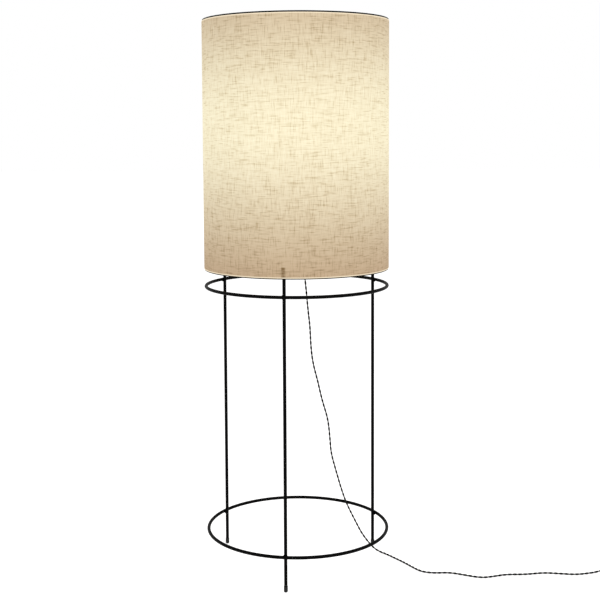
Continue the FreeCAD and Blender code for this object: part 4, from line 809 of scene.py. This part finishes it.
def ribbed(start, heading, radii, length, ribs, depth):
    """A tapered sleeve along a level line: its radius falls evenly and by depth more in each groove."""
    share = np.linspace(0, 1, ribs * 12 + 1)
    radius = radii[0] + (radii[1] - radii[0]) * share
    radius = radius - depth * np.clip(1.6 * np.sin(share * ribs * TAU - 0.6) - 0.4, 0, 1)
    line = np.array(start, float) + share[:, None] * length * np.array(heading, float)
    return capped(around_path(line, radius, 36, (0, 0, 1)))


for name, hand in (("in", -1), ("out", 1)):
    away = (hand, 0, 0)
    starts = [(SWITCH[0] + hand * reach, SWITCH[1], SLEEVE_HEIGHT) for reach in (0.032, 0.0292, 0.0274)]
    outside = ribbed(starts[0], away, (0.0044, 0.0032), 0.020, 6, 0.0005)
    neck = ribbed(starts[1], away, (0.0035, 0.0035), 0.003, 1, 0.0)
    flange = ribbed(starts[2], away, (0.0044, 0.0044), 0.0016, 1, 0.0)
    sleeve = [outside, neck, flange]
    piece(f"switch_cord_sleeve_{name}", sleeve, "switch_plastic", "stand", [f"switch_sleeve_{name}"])

# ---- plug, along its own line from the strain relief to the pins ---------------------------------

stations = np.concatenate([[0.0, 0.0003, 0.001], np.linspace(0.002, 0.034, 44), [0.0352, 0.0358, 0.036]])
edges = [0, 0.0003, 0.001, 0.034, 0.0352, 0.0358, 0.036]
inset = np.interp(stations, edges, [0.001, 0.0004, 0, 0, 0.0003, 0.0009, 0.0016])
smooth = np.clip((stations - 0.006) / 0.020, 0, 1)
smooth = smooth**2 * (3 - 2 * smooth)
wide = 0.0075 + (PLUG_WIDE - 0.0075) * smooth - inset
thick = 0.0057 + (PLUG_THICK - 0.0057) * smooth - inset
grips = 0.00035 * (0.5 - 0.5 * np.cos(stations / 0.0028 * TAU)) * np.clip((stations - 0.003) / 0.002, 0, 1)
grips *= np.clip((0.0195 - stations) / 0.002, 0, 1)
angle = (np.arange(96) + 0.5) / 96 * TAU
corner = 0.0032
x = PLUG[0] + (wide - corner - grips)[:, None] * np.sign(np.cos(angle)) + corner * np.cos(angle)
z = PLUG_THICK + (thick - corner)[:, None] * np.sign(np.sin(angle)) + corner * np.sin(angle)
y = PLUG[1] - 0.024 - stations[:, None] + 0 * angle
piece("plug_shell", [capped(np.stack([x, y, z], axis=-1))], "plug_plastic", "stand", ["plug_body"])
relief = ribbed((*PLUG, PLUG_THICK), (0, -1, 0), (0.0033, 0.0052), 0.024, 5, 0.0007)
piece("plug_strain_relief", [relief], "plug_plastic", "stand", ["plug_relief"])

# ---- light, floor and background -----------------------------------------------------------------


def lamp(name, place, aim, size, power):
    data = bpy.data.lights.new(name, "AREA")
    data.size = size
    data.energy = power
    thing = bpy.data.objects.new(name, data)
    thing.location = place
    direction = np.array(aim) - np.array(place)
    yaw = math.atan2(direction[1], direction[0]) - math.pi / 2
    pitch = math.atan2(-direction[2], math.hypot(direction[0], direction[1]))
    thing.rotation_euler = (math.pi / 2 - pitch, 0.0, yaw)
    bpy.context.scene.collection.objects.link(thing)


lamp("key", (2.6, -3.0, 3.0), (0, 0, 0.7), 3.0, 66.0)
lamp("fill", (-3.0, -2.4, 1.8), (0, 0, 0.8), 3.0, 34.0)

world = bpy.data.worlds.new("studio")
bpy.context.scene.world = world
world.use_nodes = True
sky = world.node_tree
backdrop = sky.nodes["Background"]
paths = sky.nodes.new("ShaderNodeLightPath")
strength = sky.nodes.new("ShaderNodeMapRange")
strength.inputs["To Min"].default_value = SOFT_LIGHT
strength.inputs["To Max"].default_value = 1.0
clear = sky.nodes.new("ShaderNodeMath")
clear.operation = "MAXIMUM"
sky.links.new(paths.outputs["Is Glossy Ray"], clear.inputs[0])
sky.links.new(paths.outputs["Is Transmission Ray"], clear.inputs[1])
seen = sky.nodes.new("ShaderNodeMath")
seen.operation = "MAXIMUM"
sky.links.new(paths.outputs["Is Camera Ray"], seen.inputs[0])
sky.links.new(clear.outputs[0], seen.inputs[1])
sky.links.new(seen.outputs[0], strength.inputs["Value"])
sky.links.new(strength.outputs[0], backdrop.inputs["Strength"])
backdrop.inputs["Color"].default_value = colour(1.0, 1.0, 1.0)

floor_finish = Finish("pale_floor")
paper = floor_finish.noise(floor_finish.place, 300.0)
rays = floor_finish.node("ShaderNodeLightPath").outputs
direct = floor_finish.maths("MAXIMUM", rays["Is Glossy Ray"], rays["Is Transmission Ray"])
direct = floor_finish.maths("MAXIMUM", rays["Is Camera Ray"], direct)
floor_finish.set(
    Base_Color=floor_finish.mixed(paper, colour(0.86, 0.86, 0.86), colour(0.88, 0.88, 0.88)),
    Roughness=0.9,
    Specular_IOR_Level=0.0,
    Emission_Color=colour(1.0, 1.0, 1.0),
    Emission_Strength=floor_finish.times(direct, FLOOR_GLOW),
)
floor_mesh = bpy.data.meshes.new("floor")
signs = ((-1, -1), (1, -1), (1, 1), (-1, 1))
corners = [(FLOOR_REACH * i, FLOOR_REACH * j, FLOOR_HEIGHT) for i, j in signs]
floor_mesh.from_pydata(corners, [], [(0, 1, 2, 3)])
floor_mesh.materials.append(floor_finish.material)
floor = bpy.data.objects.new("floor", floor_mesh)
bpy.context.scene.collection.objects.link(floor)

bpy.context.scene.view_settings.view_transform = "Standard"
